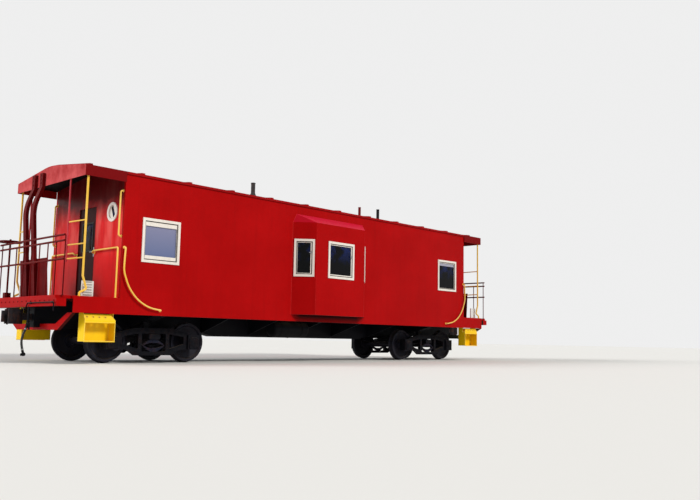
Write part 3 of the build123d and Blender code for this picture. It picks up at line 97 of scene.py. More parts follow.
class Tree:
    """A material under construction: its node tree with short calls for the nodes used here."""

    def __init__(self, name):
        self.material = bpy.data.materials.new(name)
        self.material.use_nodes = True
        self.nodes = self.material.node_tree.nodes
        self.links = self.material.node_tree.links
        self.shader = self.nodes["Principled BSDF"]
        self.object_xyz = self.add("ShaderNodeTexCoord").outputs["Object"]

    def add(self, kind, inputs=None, **settings):
        """A new node with its settings and its inputs, which go by name or number."""
        node = self.nodes.new(kind)
        for key, value in settings.items():
            setattr(node, key, value)
        for key, value in (inputs or {}).items():
            self.put(node.inputs[key], value)
        return node

    def put(self, socket, value):
        """Links an output to the socket, or sets a plain value on it."""
        if isinstance(value, bpy.types.NodeSocket):
            self.links.new(value, socket)
        else:
            socket.default_value = value

    def stretched(self, scale):
        """Object coordinates scaled along each axis."""
        return self.add("ShaderNodeMapping", {"Vector": self.object_xyz, "Scale": scale}).outputs["Vector"]

    def noise(self, scale, detail=4.0, roughness=0.55, vector=None):
        inputs = {"Vector": vector or self.object_xyz, "Scale": scale, "Detail": detail,
                  "Roughness": roughness}
        return self.add("ShaderNodeTexNoise", inputs).outputs["Fac"]

    def cell_colours(self, scale):
        """One random colour for each Voronoi cell."""
        inputs = {"Vector": self.object_xyz, "Scale": scale}
        return self.add("ShaderNodeTexVoronoi", inputs).outputs["Color"]

    def span(self, value, low, high, to_low=0.0, to_high=1.0):
        """Maps low..high to to_low..to_high, held at the ends."""
        inputs = {"Value": value, "From Min": low, "From Max": high, "To Min": to_low, "To Max": to_high}
        return self.add("ShaderNodeMapRange", inputs).outputs["Result"]

    def maths(self, operation, a, b=0.0, clamp=False):
        return self.add("ShaderNodeMath", {0: a, 1: b}, operation=operation, use_clamp=clamp).outputs[0]

    def times(self, a, b):
        return self.maths("MULTIPLY", a, b)

    def axis(self, name, source=None):
        return self.add("ShaderNodeSeparateXYZ", {0: source or self.object_xyz}).outputs[name]

    def away_from_middle(self, name):
        """Distance from the car's middle along one axis."""
        return self.maths("ABSOLUTE", self.axis(name))

    def mix(self, factor, a, b, blend="MIX"):
        """Blends two colours. The Mix node's colour sockets share their names, so they go by number."""
        inputs = {"Factor": factor, 6: a, 7: b}
        return self.add("ShaderNodeMix", inputs, data_type="RGBA", blend_type=blend).outputs[2]

    def bump(self, height, strength, distance, normal=None):
        inputs = {"Height": height, "Strength": strength, "Distance": distance}
        if normal is not None:
            inputs["Normal"] = normal
        return self.add("ShaderNodeBump", inputs).outputs["Normal"]

    def normal(self):
        """The surface's own normal, without bump."""
        return self.add("ShaderNodeNewGeometry").outputs["Normal"]

    def dot(self, a, b):
        return self.add("ShaderNodeVectorMath", {0: a, 1: b}, operation="DOT_PRODUCT").outputs["Value"]

    def edges(self, radius):
        """1 along sharp edges within the radius, 0 on flats."""
        bevelled = self.add("ShaderNodeBevel", {"Radius": radius}, samples=4).outputs["Normal"]
        turned = self.maths("SUBTRACT", 1.0, self.dot(bevelled, self.normal()))
        return self.span(turned, 0.03, 0.22)

    def facing_up(self, low=0.2, high=0.95):
        """1 on faces that look up."""
        return self.span(self.axis("Z", self.normal()), low, high)

    def facing_down(self):
        """1 on faces that look down."""
        return self.span(self.axis("Z", self.normal()), -0.4, -0.8)

    def surface(self, **values):
        """Sets the shader's sockets, named without their spaces, and returns the material."""
        for key, value in values.items():
            self.put(self.shader.inputs[SHADER_SOCKETS.get(key, key)], value)
        return self.material


# Paints, dirt and painted shade
RED = srgb(164, 0, 1)
RED_FADED = srgb(176, 3, 5)
RED_DARK = srgb(90, 2, 5)
HANDRAIL_YELLOW = srgb(244, 192, 62)
HANDRAIL_YELLOW_FADED = srgb(250, 210, 112)
CREAM = srgb(232, 224, 212)
BLACK = srgb(6, 7, 14)
RUST = srgb(92, 48, 26)
DUST = srgb(126, 112, 94)
PRIMER = srgb(120, 70, 52)
LINING = srgb(66, 69, 63)
# Painted shade for faces that look down
SOFFIT_SHADE = srgb(9, 4, 4)
DULL = (0.72, 0.72, 0.72, 1.0)
GRIME = (0.36, 0.36, 0.38, 1.0)
ORANGE_PEEL = 0.0004
CHIP_DEPTH = 0.0008
WELD_HEIGHT = 0.003


def dulled(tree, tone):
    """Fine, uneven dulling of old paint."""
    fine = tree.span(tree.noise(9.0, 6.0, 0.65), 0.3, 0.75)
    return tree.mix(tree.times(fine, 0.3), tone, DULL, "MULTIPLY")


def rain_streaked(tree, tone, grime):
    """Upright streaks of dirt where rain runs down."""
    streaks = tree.span(tree.noise(2.4, 6.0, 0.6, tree.stretched((4.5, 4.5, 0.22))), 0.5, 0.78)
    return tree.mix(tree.times(streaks, grime), tone, GRIME, "MULTIPLY")


def dusty_on_top(tree, tone, grime):
    """Dust on faces that look up."""
    dust = tree.times(tree.facing_up(), tree.span(tree.noise(3.0, 5.0), 0.3, 0.8, 0.1, 0.55))
    return tree.mix(tree.times(dust, min(1.0, grime * 1.6)), tone, DUST)


def chipped(tree, edge, wear):
    """1 where paint has come off, along edges and in small spots."""
    specks = tree.span(tree.noise(38.0, 5.0, 0.7), 0.52, 0.6)
    along_edges = tree.times(tree.edges(edge), tree.times(specks, wear))
    spots = tree.span(tree.noise(5.5, 8.0, 0.75), 0.69, 0.74)
    return tree.maths("MAXIMUM", along_edges, tree.times(spots, wear * 0.7))


def weld_beads(tree, pitch):
    """1 on the upright weld seams between the side sheets."""
    along = tree.maths("FRACT", tree.maths("DIVIDE", tree.axis("X"), pitch))
    away = tree.times(tree.maths("ABSOLUTE", tree.maths("SUBTRACT", along, 0.5)), pitch)
    bead = tree.span(away, 0.002, 0.007, 1.0, 0.0)
    return tree.times(bead, tree.noise(90.0, 2.0))


def indoors(tree):
    """1 on faces that look into the cabin: their normal points back towards the car's middle."""
    outwards = tree.stretched((1, 1, 0))
    return tree.span(tree.dot(outwards, tree.normal()), -0.3, -0.5)


def paint(name, colour, faded, roughness=0.4, grime=0.35, wear=0.6, edge=0.006, waves=0.0, seam_pitch=0.0,
          lining=False, second=None, soffit=0.0, shine=0.12, coat=0.03, rim=None, shade=None):
    """Painted steel: faded patches, rain streaks, dust on top faces, chipped edges, orange peel.

    second and shade are (mask maker, colour): a zone of another colour under the dirt, in some finishes
    painted light, and a zone of painted shade over it. soffit is the strength of a painted shade on faces
    that look down, rim is the colour of a painted highlight along edges, waves is how far the sheets bulge,
    seam_pitch is the distance between weld seams, and lining paints the cabin's inside grey.
    """
    tree = Tree(name)
    tone = tree.mix(tree.span(tree.noise(0.8, 3.0), 0.35, 0.7), colour, faded)
    # A second zone of colour; in some finishes it is painted light
    if second:
        zone, zone_colour = second
        tone = tree.mix(zone(tree), tone, zone_colour)
    tone = dulled(tree, tone)
    tone = rain_streaked(tree, tone, grime)
    tone = dusty_on_top(tree, tone, grime)
    # Painted highlight along the edges, in the rim colour
    if rim:
        tone = tree.mix(tree.times(tree.edges(0.010), 0.75), tone, rim)
    worn = chipped(tree, edge, wear)
    tone = tree.mix(worn, tone, tree.mix(tree.span(tree.noise(60.0), 0.4, 0.6), PRIMER, RUST))
    rough = tree.maths("ADD", roughness, tree.times(tree.noise(14.0, 4.0), 0.16))
    rough = tree.maths("ADD", rough, tree.times(worn, 0.35), clamp=True)
    # Painted shade on faces that look down
    if soffit:
        tone = tree.mix(tree.times(tree.facing_down(), soffit), tone, SOFFIT_SHADE)
    # Painted shade over its zone
    if shade:
        zone, zone_colour = shade
        tone = tree.mix(zone(tree), tone, zone_colour)
    if lining:
        inside = indoors(tree)
        tone = tree.mix(inside, tone, LINING)
        rough = tree.maths("MAXIMUM", rough, tree.times(inside, 0.7))
    normal = tree.bump(tree.noise(160.0, 2.0), 0.5, ORANGE_PEEL)
    normal = tree.bump(worn, -0.6, CHIP_DEPTH, normal)
    if waves:
        bulges = tree.noise(1.1, 2.0, vector=tree.stretched((1.0, 1.0, 0.7)))
        normal = tree.bump(bulges, 0.6, waves, normal)
    if seam_pitch:
        bead = weld_beads(tree, seam_pitch)
        normal = tree.bump(bead, 0.8, WELD_HEIGHT, normal)
        tone = tree.mix(tree.times(bead, 0.35), tone, DULL, "MULTIPLY")
    return tree.surface(BaseColor=tone, Roughness=rough, Normal=normal, SpecularIORLevel=shine,
                        CoatWeight=coat, CoatRoughness=0.2)


# Zones of a paint
def inner_pole(tree):
    """1 on the ladder's inner pole and the rungs' ends beside it, 0 on the rest."""
    return tree.maths("LESS_THAN", tree.away_from_middle("Y"), INNER_POLE_Y + 0.040)


def reflection_bands(tree):
    """Upright pale bands on the end walls, a painted reflection, strongest above the rails."""
    bands = tree.span(tree.noise(2.0, 2.5, 0.5, tree.stretched((1.0, 2.6, 0.6))), 0.42, 0.68)
    high = tree.span(tree.axis("Z"), 2.15, 2.6, 0.06, 0.8)
    return tree.times(bands, high)


def fascia_light_patches(tree):
    """1 in cloudy patches on the roof's end fascias, for painted patches of light."""
    end = tree.maths("GREATER_THAN", tree.away_from_middle("X"), ROOF_END - 0.004)
    clouds = tree.span(tree.noise(2.4, 5.0, 0.6), 0.34, 0.62, 0.2, 0.85)
    return tree.times(end, clouds)


def roof_shadow(tree):
    """1 on the end walls' tops, for the painted shadow of the platform roof."""
    ragged = tree.span(tree.noise(2.2, 4.0), 0.3, 0.7, -0.15, 0.15)
    return tree.span(tree.maths("ADD", tree.axis("Z"), ragged), 2.95, 3.4, 0.0, 0.85)


def side_fascia_shade(tree):
    """1 on the roof's side fascias over the platforms, for a painted shade."""
    out = tree.maths("GREATER_THAN", tree.away_from_middle("Y"), ROOF_EDGE - 0.004)
    past = tree.maths("GREATER_THAN", tree.away_from_middle("X"), BODY_END - 0.02)
    return tree.times(tree.times(out, past), 0.9)


def bay_shadow(tree):
    """1 on the wall right below the bays, for the painted shadow of the bays."""
    along = tree.span(tree.away_from_middle("X"), 1.0, 1.3, 1.0, 0.0)
    below = tree.maths("LESS_THAN", tree.axis("Z"), BAY_LOW.z + 0.004)
    depth = tree.span(tree.axis("Z"), SILL_Z + 0.02, BAY_LOW.z - 0.03, 0.3, 0.95)
    return tree.times(along, tree.times(below, depth))


def bay_slope_sheen(tree):
    """1 on the bay's roof slopes, for a painted reflection of the sky."""
    return tree.facing_up(0.25, 0.5)


def second_vent(tree):
    """1 on the vent nearer the rear end."""
    return tree.maths("GREATER_THAN", tree.axis("X"), middle("roof_vents").x)


# Other finishes
def cast_steel(name, colour=BLACK, rust=0.1, scale=1.0):
    """Rough cast or forged steel: old black paint, rust in patches, brake dust, sandy skin."""
    tree = Tree(name)
    patches = tree.span(tree.noise(7.0 * scale, 7.0, 0.7), 0.48, 0.68)
    tone = tree.mix(tree.times(patches, rust), colour, RUST)
    lighter = tuple(channel * 1.9 + 0.006 for channel in colour[:3]) + (1.0,)
    tone = tree.mix(tree.span(tree.noise(22.0 * scale, 5.0), 0.45, 0.75, 0.0, 0.5), tone, lighter)
    dust = tree.times(tree.facing_up(), tree.span(tree.noise(6.0, 5.0), 0.25, 0.75, 0.05, 0.4))
    tone = tree.mix(dust, tone, DUST)
    # Painted highlight along the edges
    tone = tree.mix(tree.times(tree.edges(0.008), 0.35), tone, srgb(60, 62, 78))
    skin = tree.bump(tree.noise(120.0 * scale, 4.0, 0.7), 0.5, 0.0012)
    skin = tree.bump(patches, 0.4, 0.0015, skin)
    rough = tree.span(tree.noise(18.0, 4.0), 0.3, 0.7, 0.55, 0.85)
    return tree.surface(BaseColor=tone, Roughness=rough, Normal=skin, Metallic=0.1, SpecularIORLevel=0.12)


def wheel_steel():
    """Wheel and axle: blue-black scale with brown patches, dust on top and a painted highlight along the
    edges.
    """
    tree = Tree("wheel_steel")
    patches = tree.span(tree.noise(9.0, 7.0, 0.7), 0.4, 0.7)
    tone = tree.mix(patches, srgb(11, 13, 28), srgb(34, 27, 32))
    tone = tree.mix(tree.span(tree.noise(30.0, 6.0), 0.5, 0.8, 0.0, 0.5), tone, srgb(14, 17, 34))
    tone = tree.mix(tree.times(tree.facing_up(), 0.2), tone, DUST)
    # Painted highlight along the edges
    tone = tree.mix(tree.times(tree.edges(0.012), 0.6), tone, srgb(72, 74, 90))
    normal = tree.bump(tree.noise(70.0, 5.0, 0.7), 0.45, 0.001)
    rough = tree.span(patches, 0.0, 1.0, 0.5, 0.85)
    return tree.surface(BaseColor=tone, Roughness=rough, Normal=normal, Metallic=0.2, SpecularIORLevel=0.25)


def galvanised():
    """Zinc-coated bar: pale spangle and dull weathering."""
    tree = Tree("galvanised")
    spangle = tree.span(tree.cell_colours(60.0), 0.2, 0.8)
    grey = tree.mix(spangle, srgb(138, 138, 138), srgb(178, 180, 180))
    grey = tree.mix(tree.span(tree.noise(7.0, 6.0), 0.5, 0.8, 0.0, 0.6), grey, srgb(108, 98, 86))
    rough = tree.span(tree.noise(25.0), 0.3, 0.7, 0.4, 0.65)
    normal = tree.bump(tree.noise(90.0), 0.3, 0.0006)
    return tree.surface(BaseColor=grey, Roughness=rough, Normal=normal, Metallic=0.6)


def window_glass():
    """Dark old float glass with slight waves, dust and blue patches high up, which are a painted reflection
    of the sky.

    The front end's side windows carry a lavender sun film instead, darker and bluer towards the bottom as a
    painted reflection.
    """
    tree = Tree("window_glass")
    front_windows_x = -4.0
    side_windows_y = 1.4
    haze = tree.span(tree.noise(3.0, 5.0), 0.45, 0.8, 0.0, 0.12)
    in_front = tree.maths("LESS_THAN", tree.axis("X"), front_windows_x)
    in_side = tree.maths("GREATER_THAN", tree.away_from_middle("Y"), side_windows_y)
    film = tree.times(in_front, in_side)
    # The film is darker and bluer towards the bottom, a painted reflection
    film_tone = tree.mix(tree.span(tree.axis("Z"), 2.1, 2.8), srgb(104, 118, 158), srgb(140, 142, 172))
    # Blue patches high up: a painted reflection of the sky
    patches = tree.span(tree.noise(4.0, 3.0), 0.46, 0.62)
    patches = tree.times(patches, tree.span(tree.axis("Z"), 2.40, 2.80))
    dark = tree.mix(patches, srgb(3, 4, 9), srgb(30, 48, 112))
    normal = tree.bump(tree.noise(2.5, 1.0), 0.25, 0.004)
    return tree.surface(BaseColor=tree.mix(film, dark, film_tone), Normal=normal, IOR=1.25,
                        Roughness=tree.maths("ADD", haze, 0.03), SpecularIORLevel=0.12,
                        TransmissionWeight=tree.span(film, 0.0, 1.0, 0.6, 0.15))


def hose_rubber():
    """Ribbed wrapped rubber, dusty grey where it is scuffed."""
    tree = Tree("hose_rubber")
    scuffs = tree.span(tree.noise(30.0, 6.0, 0.7), 0.45, 0.75)
    tone = tree.mix(scuffs, srgb(24, 24, 25), srgb(72, 68, 62))
    wrap = tree.noise(8.0, 2.0, vector=tree.stretched((1, 1, 30)))
    return tree.surface(BaseColor=tone, Roughness=tree.span(scuffs, 0, 1, 0.55, 0.85),
                        Normal=tree.bump(wrap, 0.5, 0.0012))


def floor_boards():
    """Cabin floor: worn planks laid across the car, on plain steel below."""
    tree = Tree("floor_boards")
    plank_width = 0.14
    along = tree.maths("FRACT", tree.maths("DIVIDE", tree.axis("X"), plank_width))
    gap = tree.span(tree.maths("ABSOLUTE", tree.maths("SUBTRACT", along, 0.5)), 0.46, 0.5)
    grain = tree.noise(6.0, 8.0, 0.7, tree.stretched((14.0, 0.9, 14.0)))
    wood = tree.mix(tree.span(grain, 0.3, 0.75), srgb(112, 84, 58), srgb(66, 46, 32))
    wood = tree.mix(gap, wood, srgb(18, 14, 12))
    steel = tree.maths("LESS_THAN", tree.facing_up(), 0.5)
    normal = tree.bump(gap, -0.9, 0.004, tree.bump(grain, 0.4, 0.0015))
    return tree.surface(BaseColor=tree.mix(steel, wood, srgb(28, 30, 38)), Roughness=0.7, Normal=normal)


def sooty_iron():
    """Stove pipe: matt black with brown heat marks."""
    tree = Tree("sooty_iron")
    heat = tree.span(tree.noise(12.0, 6.0), 0.45, 0.75)
    tone = tree.mix(heat, srgb(24, 24, 26), srgb(70, 46, 34))
    return tree.surface(BaseColor=tone, Roughness=tree.span(heat, 0, 1, 0.6, 0.9), Metallic=0.2,
                        Normal=tree.bump(tree.noise(80.0, 4.0), 0.4, 0.0008))


def window_blind():
    """Pale roller blind seen through the glass, bluer towards the bottom as a painted reflection."""
    tree = Tree("window_blind")
    weave = tree.noise(5.0, 3.0, vector=tree.stretched((60, 60, 6)))
    tone = tree.mix(tree.span(weave, 0.3, 0.7), srgb(150, 150, 166), srgb(166, 165, 178))
    # Bluer towards the bottom: a painted reflection
    tone = tree.mix(tree.span(tree.axis("Z"), 2.3, 2.1, 0.0, 0.35), tone, srgb(116, 132, 160))
    return tree.surface(BaseColor=tone, Roughness=0.85, Normal=tree.bump(weave, 0.3, 0.0005))


def gasket():
    """Black glazing rubber with a dusty bloom."""
    tree = Tree("gasket")
    bloom = tree.span(tree.noise(20.0, 5.0), 0.4, 0.8)
    return tree.surface(BaseColor=tree.mix(bloom, srgb(14, 14, 15), srgb(44, 42, 40)), Roughness=0.75,
                        Normal=tree.bump(bloom, 0.3, 0.0006))


# Every finish by its short name
FINISH = {
    "body": paint("body_red", RED, RED_FADED, grime=0.14, wear=0.3, waves=0.02, seam_pitch=1.22, lining=True,
                  soffit=0.85, shine=0.05, coat=0.01, shade=(bay_shadow, srgb(34, 2, 4))),
    "bay": paint("bay_red", RED, RED_FADED, grime=0.14, wear=0.3, waves=0.015, lining=True, soffit=0.9,
                 shine=0.05, coat=0.01, second=(bay_slope_sheen, srgb(214, 14, 56)), rim=srgb(226, 70, 70)),
    # End walls: a brighter red than the body's, as painted light, with painted reflection bands and a painted
    # shadow of the roof
    "end": paint("end_red", srgb(206, 3, 5), srgb(224, 16, 20), roughness=0.3, grime=0.38, wear=0.7,
                 waves=0.03, lining=True, shine=0.08, coat=0.04, second=(reflection_bands, srgb(238, 92, 84)),
                 shade=(roof_shadow, srgb(30, 4, 7))),
    "roof": paint("roof_red", srgb(146, 2, 5), srgb(160, 9, 14), roughness=0.58, grime=0.22, wear=0.5,
                  waves=0.015, soffit=1.0, shine=0.08, coat=0.0, second=(fascia_light_patches, srgb(214, 92, 92)),
                  shade=(side_fascia_shade, srgb(112, 1, 4))),
    "deck": paint("deck_red", RED_DARK, srgb(102, 4, 7), roughness=0.45, grime=0.4, wear=0.9, shine=0.06,
                  coat=0.01),
    # Doors: a near-black red, a painted shade of the recessed doorways
    "door": paint("door_red", srgb(48, 4, 6), srgb(60, 8, 9), grime=0.4, wear=0.7, shine=0.08),
    "vents": paint("vent_red", RED_DARK, srgb(122, 6, 8), grime=0.4, wear=0.9,
                   second=(second_vent, srgb(18, 16, 20))),
    "yellow": paint("handrail_yellow", HANDRAIL_YELLOW, HANDRAIL_YELLOW_FADED, grime=0.18, wear=0.8,
                    edge=0.003, shine=0.3),
    "step": paint("step_yellow", srgb(254, 202, 3), srgb(255, 212, 14), grime=0.2, wear=0.5, edge=0.004,
                  shine=0.2, rim=srgb(255, 236, 160)),
    "ladder": paint("ladder_yellow", HANDRAIL_YELLOW, HANDRAIL_YELLOW_FADED, grime=0.18, wear=0.8, edge=0.003,
                    shine=0.3, second=(inner_pole, srgb(188, 44, 54))),
    "cream": paint("frame_cream", CREAM, srgb(240, 234, 224), grime=0.2, wear=0.3, edge=0.003, shine=0.3),
    "grate": paint("grate_white", srgb(222, 218, 212), srgb(236, 232, 226), grime=0.4, wear=0.5, shine=0.2),
    "black": paint("frame_black", BLACK, srgb(14, 15, 22), roughness=0.6, grime=0.5, wear=0.25),
    "cast": cast_steel("truck_steel"),
    "coupler": cast_steel("coupler_steel", colour=srgb(30, 27, 30), rust=0.5),
    "springs": cast_steel("spring_steel", colour=srgb(18, 21, 36), rust=0.25, scale=1.6),
    "wheel": wheel_steel(),
    "zinc": galvanised(),
    "glass": window_glass(),
    "rubber": hose_rubber(),
    "boards": floor_boards(),
    "stack": sooty_iron(),
    "blind": window_blind(),
    "gasket": gasket(),
}

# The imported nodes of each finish; {end} stands for front and rear
PACKED_NODES = {
    "black": ("centre_sill", "cross_bearers", "side_sills", "hose_pipes", "air_brake_gear"),
    "boards": ("floor_deck",),
    "body": ("side_wall_near", "side_wall_far", "platform_decks", "end_sills"),
    "bay": ("bay_near", "bay_far"),
    "end": ("end_wall_{end}",),
    "roof": ("roof",),
    "vents": ("roof_vents",),
    "stack": ("stove_stack",),
    "deck": ("curved_posts", "end_railings", "hand_brake"),
    "step": ("step_boxes",),
    "ladder": ("corner_ladders",),
    "yellow": ("wall_handrails", "side_handrails"),
    "grate": ("grating_panels",),
    "cream": ("window_frames", "bay_window_frames_near", "bay_window_frames_far"),
    "glass": ("window_glass", "door_{end}_glass"),
    "door": ("door_{end}",),
    "coupler": ("couplers", "coupler_knuckles"),
    "cast": ("uncoupling_levers", "hose_coupling_{end}", "truck_{end}_side_frames", "truck_{end}_bolster",
             "truck_{end}_brakes"),
    "springs": ("truck_{end}_springs",),
    "wheel": ("wheels_{end}_a", "wheels_{end}_b", "axle_{end}_a", "axle_{end}_b"),
}


def dress_nodes():
    """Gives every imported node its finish."""
    for finish, patterns in PACKED_NODES.items():
        for name in sorted({pattern.format(end=end_name) for pattern in patterns for end_name, _ in ENDS}):
            node = NODES[name]
            if not node.material_slots:
                node.data.materials.append(None)
            for slot in node.material_slots:
                slot.material = FINISH[finish]


# Objects and meshes: finished pieces sit at the origin with their place in the mesh
def new_object(name, data):
    """An object for the data, put in the scene."""
    made = bpy.data.objects.new(name, data)
    bpy.context.scene.collection.objects.link(made)
    return made


def finish_object(name, mesh, finish, body="car_body", smooth=False):
    """A piece from its mesh, with its finish, riding on its body."""
    piece = new_object(name, mesh)
    mesh.materials.clear()
    mesh.materials.append(FINISH[finish])
    for polygon in mesh.polygons:
        polygon.use_smooth = smooth
    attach(piece, body)
    return piece


def finish_mesh(bm, name, finish, body="car_body"):
    """A flat-shaded piece from finished bmesh data."""
    bmesh.ops.remove_doubles(bm, verts=bm.verts, dist=1e-6)
    bmesh.ops.recalc_face_normals(bm, faces=bm.faces)
    mesh = bpy.data.meshes.new(name)
    bm.to_mesh(mesh)
    bm.free()
    return finish_object(name, mesh, finish, body)


def at(x, y, z, turn=0.0):
    """A place, turned about Z in degrees."""
    return Matrix.Translation((x, y, z)) @ Matrix.Rotation(math.radians(turn), 4, "Z")


def round_edges(bm, edges, offset):
    """Rounds each of the edges once, in the order given."""
    bm.normal_update()
    bmesh.ops.bevel(bm, geom=list(dict.fromkeys(edges)), offset=offset, segments=2, affect="EDGES",
                    profile=0.6)


def add_box(bm, low, high, place, bevel=0.0):
    """A box between two corners, moved by place, with its edges rounded by bevel."""
    low, high = Vector(low), Vector(high)
    centre = (low + high) / 2
    size = high - low
    verts = bmesh.ops.create_cube(bm, size=1.0)["verts"]
    for vert in verts:
        vert.co = place @ Vector(centre[i] + vert.co[i] * size[i] for i in range(3))
    if bevel:
        round_edges(bm, [edge for vert in verts for edge in vert.link_edges], bevel)


def add_ring(bm, outer, inner, depth, place, bevel=0.0):
    """A rectangular frame from four mitred bars. outer and inner are (x0, x1, z0, z1), depth is (y0, y1)."""
    rings = []
    for (x0, x1, z0, z1), y in ((outer, depth[0]), (inner, depth[0]), (inner, depth[1]), (outer, depth[1])):
        corners = ((x0, y, z0), (x1, y, z0), (x1, y, z1), (x0, y, z1))
        rings.append([bm.verts.new(place @ Vector(corner)) for corner in corners])
    faces = bridge(bm, rings)
    if bevel:
        bm.normal_update()
        edges = [edge for face in faces for edge in face.edges if edge.calc_face_angle(0) > 0.5]
        round_edges(bm, edges, bevel)


def bridge(bm, loops):
    """Faces between each loop of points and the next, the last back to the first."""
    faces = []
    for index, here in enumerate(loops):
        there = loops[(index + 1) % len(loops)]
        for k in range(len(here)):
            j = (k + 1) % len(here)
            faces.append(bm.faces.new((here[k], here[j], there[j], there[k])))
    return faces


# Windows. A window's local frame stands in its middle, with outdoors at -Y
BAY_FRAMES_LOW, BAY_FRAMES_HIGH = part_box("bay_window_frames_near")
WINDOW_MID_Z = (BAY_FRAMES_LOW.z + BAY_FRAMES_HIGH.z) / 2
WINDOW_HEIGHT = BAY_FRAMES_HIGH.z - BAY_FRAMES_LOW.z
FRAME_BAR = 0.055
END_WINDOW_WIDTH = 0.896
END_WINDOW_X = BODY_END - 0.419 - END_WINDOW_WIDTH / 2
BAY_FRONT_WIDTH = 0.915
BAY_SIDE_WIDTH = 0.500
BAY_HALF_WALL = BAY_HIGH.x
BAY_HALF_FRONT = 0.855
BAY_REACH = -BAY_LOW.y - BODY_SIDE
BAY_TURN = math.degrees(math.atan2(BAY_REACH, BAY_HALF_WALL - BAY_HALF_FRONT))
BAY_SIDE_X = (BAY_HALF_WALL + BAY_HALF_FRONT) / 2
BAY_SIDE_Y = BODY_SIDE + BAY_REACH / 2
SASH_CLEARANCE = 0.0005
SASH_DEPTH = (0.0, 0.021)
GASKET_BAR = 0.020
GASKET_DEPTH = (0.010, 0.022)

# Near-side windows. Columns: name, x, distance out, turn, width, sash bars (bottom, top, left, right)
NEAR_WINDOWS = [
    ("end_a", -END_WINDOW_X, BODY_SIDE, 0, END_WINDOW_WIDTH, (0.072, 0.082, 0.004, 0.004)),
    ("end_b", END_WINDOW_X, BODY_SIDE, 0, END_WINDOW_WIDTH, (0.006, 0.012, 0.004, 0.004)),
    ("bay_front", 0.0, BODY_SIDE + BAY_REACH, 0, BAY_FRONT_WIDTH, (0.024, 0.014, 0.004, 0.022)),
    ("bay_a", -BAY_SIDE_X, BAY_SIDE_Y, -BAY_TURN, BAY_SIDE_WIDTH, (0.012, 0.012, 0.008, 0.026)),
    ("bay_b", BAY_SIDE_X, BAY_SIDE_Y, BAY_TURN, BAY_SIDE_WIDTH, (0.012, 0.012, 0.008, 0.026)),
]


def window_places():
    """Each window's name, local frame, width and sash bars, for both sides."""
    for name, x, out, turn, width, bars in NEAR_WINDOWS:
        yield f"near_{name}", at(x, -out, WINDOW_MID_Z, turn), width, bars
        yield f"far_{name}", at(-x, out, WINDOW_MID_Z, turn + 180), width, bars


def window_opening(width, margin):
    """The hole in a window's frame as (x0, x1, z0, z1), less a margin all round."""
    half_width = width / 2 - FRAME_BAR - margin
    half_height = WINDOW_HEIGHT / 2 - FRAME_BAR - margin
    return (-half_width, half_width, -half_height, half_height)


def add_latch(bm, x, place):
    """A sash latch: its plate and its lever."""
    z = 0.13
    add_box(bm, (x - 0.012, -0.016, z - 0.03), (x + 0.012, -0.0005, z + 0.03), place, 0.003)
    add_box(bm, (x - 0.05, -0.018, z - 0.008), (x + 0.01, -0.010, z + 0.008), place, 0.003)


def make_sashes():
    """An inner sash of four bars in each window, a rubber gasket round it and a latch on the bay's sashes."""
    sash_bm, gasket_bm, latch_bm = bmesh.new(), bmesh.new(), bmesh.new()
    for name, place, width, (bottom, top, left, right) in window_places():
        sash = window_opening(width, GASKET_BAR)
        pane = (sash[0] + left, sash[1] - right, sash[2] + bottom, sash[3] - top)
        add_ring(gasket_bm, window_opening(width, SASH_CLEARANCE), sash, GASKET_DEPTH, place)
        add_ring(sash_bm, sash, pane, SASH_DEPTH, place, bevel=0.003)
        if "bay" in name:
            add_latch(latch_bm, sash[1] - right / 2, place)
    finish_mesh(sash_bm, "window_sashes", "cream")
    finish_mesh(gasket_bm, "window_gaskets", "gasket")
    finish_mesh(latch_bm, "window_latches", "zinc")


def make_blinds():
    """Roller blinds: pulled down in two of the end windows, and rolled up at the top of the others."""
    top = 0.38
    thickness = 0.003
    side_gap = 0.021
    pulled_down = (-0.39, 0.044)
    rolled_up = (0.29, 0.023)
    bm = bmesh.new()
    for name, place, width, _ in window_places():
        if "end" in name:
            half = width / 2 - FRAME_BAR - side_gap
            bottom, depth = pulled_down if "end_a" in name else rolled_up
            add_box(bm, (-half, depth, bottom), (half, depth + thickness, top), place)
    finish_mesh(bm, "window_blinds", "blind")


def make_porthole_shades():
    """A white shade in two halves inside each porthole, parted by a leaning gap."""
    radius = 0.1385
    half_gap = 0.042
    front_y = 0.012
    back_y = 0.015
    steps = 18
    lean = Matrix.Rotation(math.radians(-24), 4, "Y")
    reach = math.acos(half_gap / radius)
    turns = [reach * (2 * k / steps - 1) for k in range(steps + 1)]
    for name, end in ENDS:
        bm = bmesh.new()
        place = at(end * BODY_END, end * PORTHOLE_Y, PORTHOLE_Z, 90 * end) @ lean
        for side in (-1, 1):
            rim = [(side * radius * math.cos(turn), radius * math.sin(turn)) for turn in turns]
            front = [bm.verts.new(place @ Vector((u, front_y, v))) for u, v in rim]
            back = [bm.verts.new(place @ Vector((u, back_y, v))) for u, v in rim]
            bm.faces.new(front)
            bm.faces.new(reversed(back))
            for k in range(len(rim)):
                j = (k + 1) % len(rim)
                bm.faces.new((front[k], front[j], back[j], back[k]))
        finish_mesh(bm, f"porthole_shades_{name}", "cream")


# Fasteners: one node tree puts a head on every point, along the point's axis
HEAD_SIZES = ("Head Radius", "Head Width", "Head Height")


def head_node(nodes, kind):
    """The node that makes one head, 2 units across and high."""
    if kind in ("rivet", "lozenge"):
        head = nodes.new("GeometryNodeMeshUVSphere")
        head.inputs["Segments"].default_value = 8
        head.inputs["Rings"].default_value = 6
        head.inputs["Radius"].default_value = 1.0
    elif kind == "bar":
        head = nodes.new("GeometryNodeMeshCube")
        head.inputs["Size"].default_value = (2.0, 2.0, 2.0)
    else:
        head = nodes.new("GeometryNodeMeshCylinder")
        head.inputs["Vertices"].default_value = 6 if kind == "bolt" else 20
        head.inputs["Radius"].default_value = 1.0
        head.inputs["Depth"].default_value = 2.0
    return head


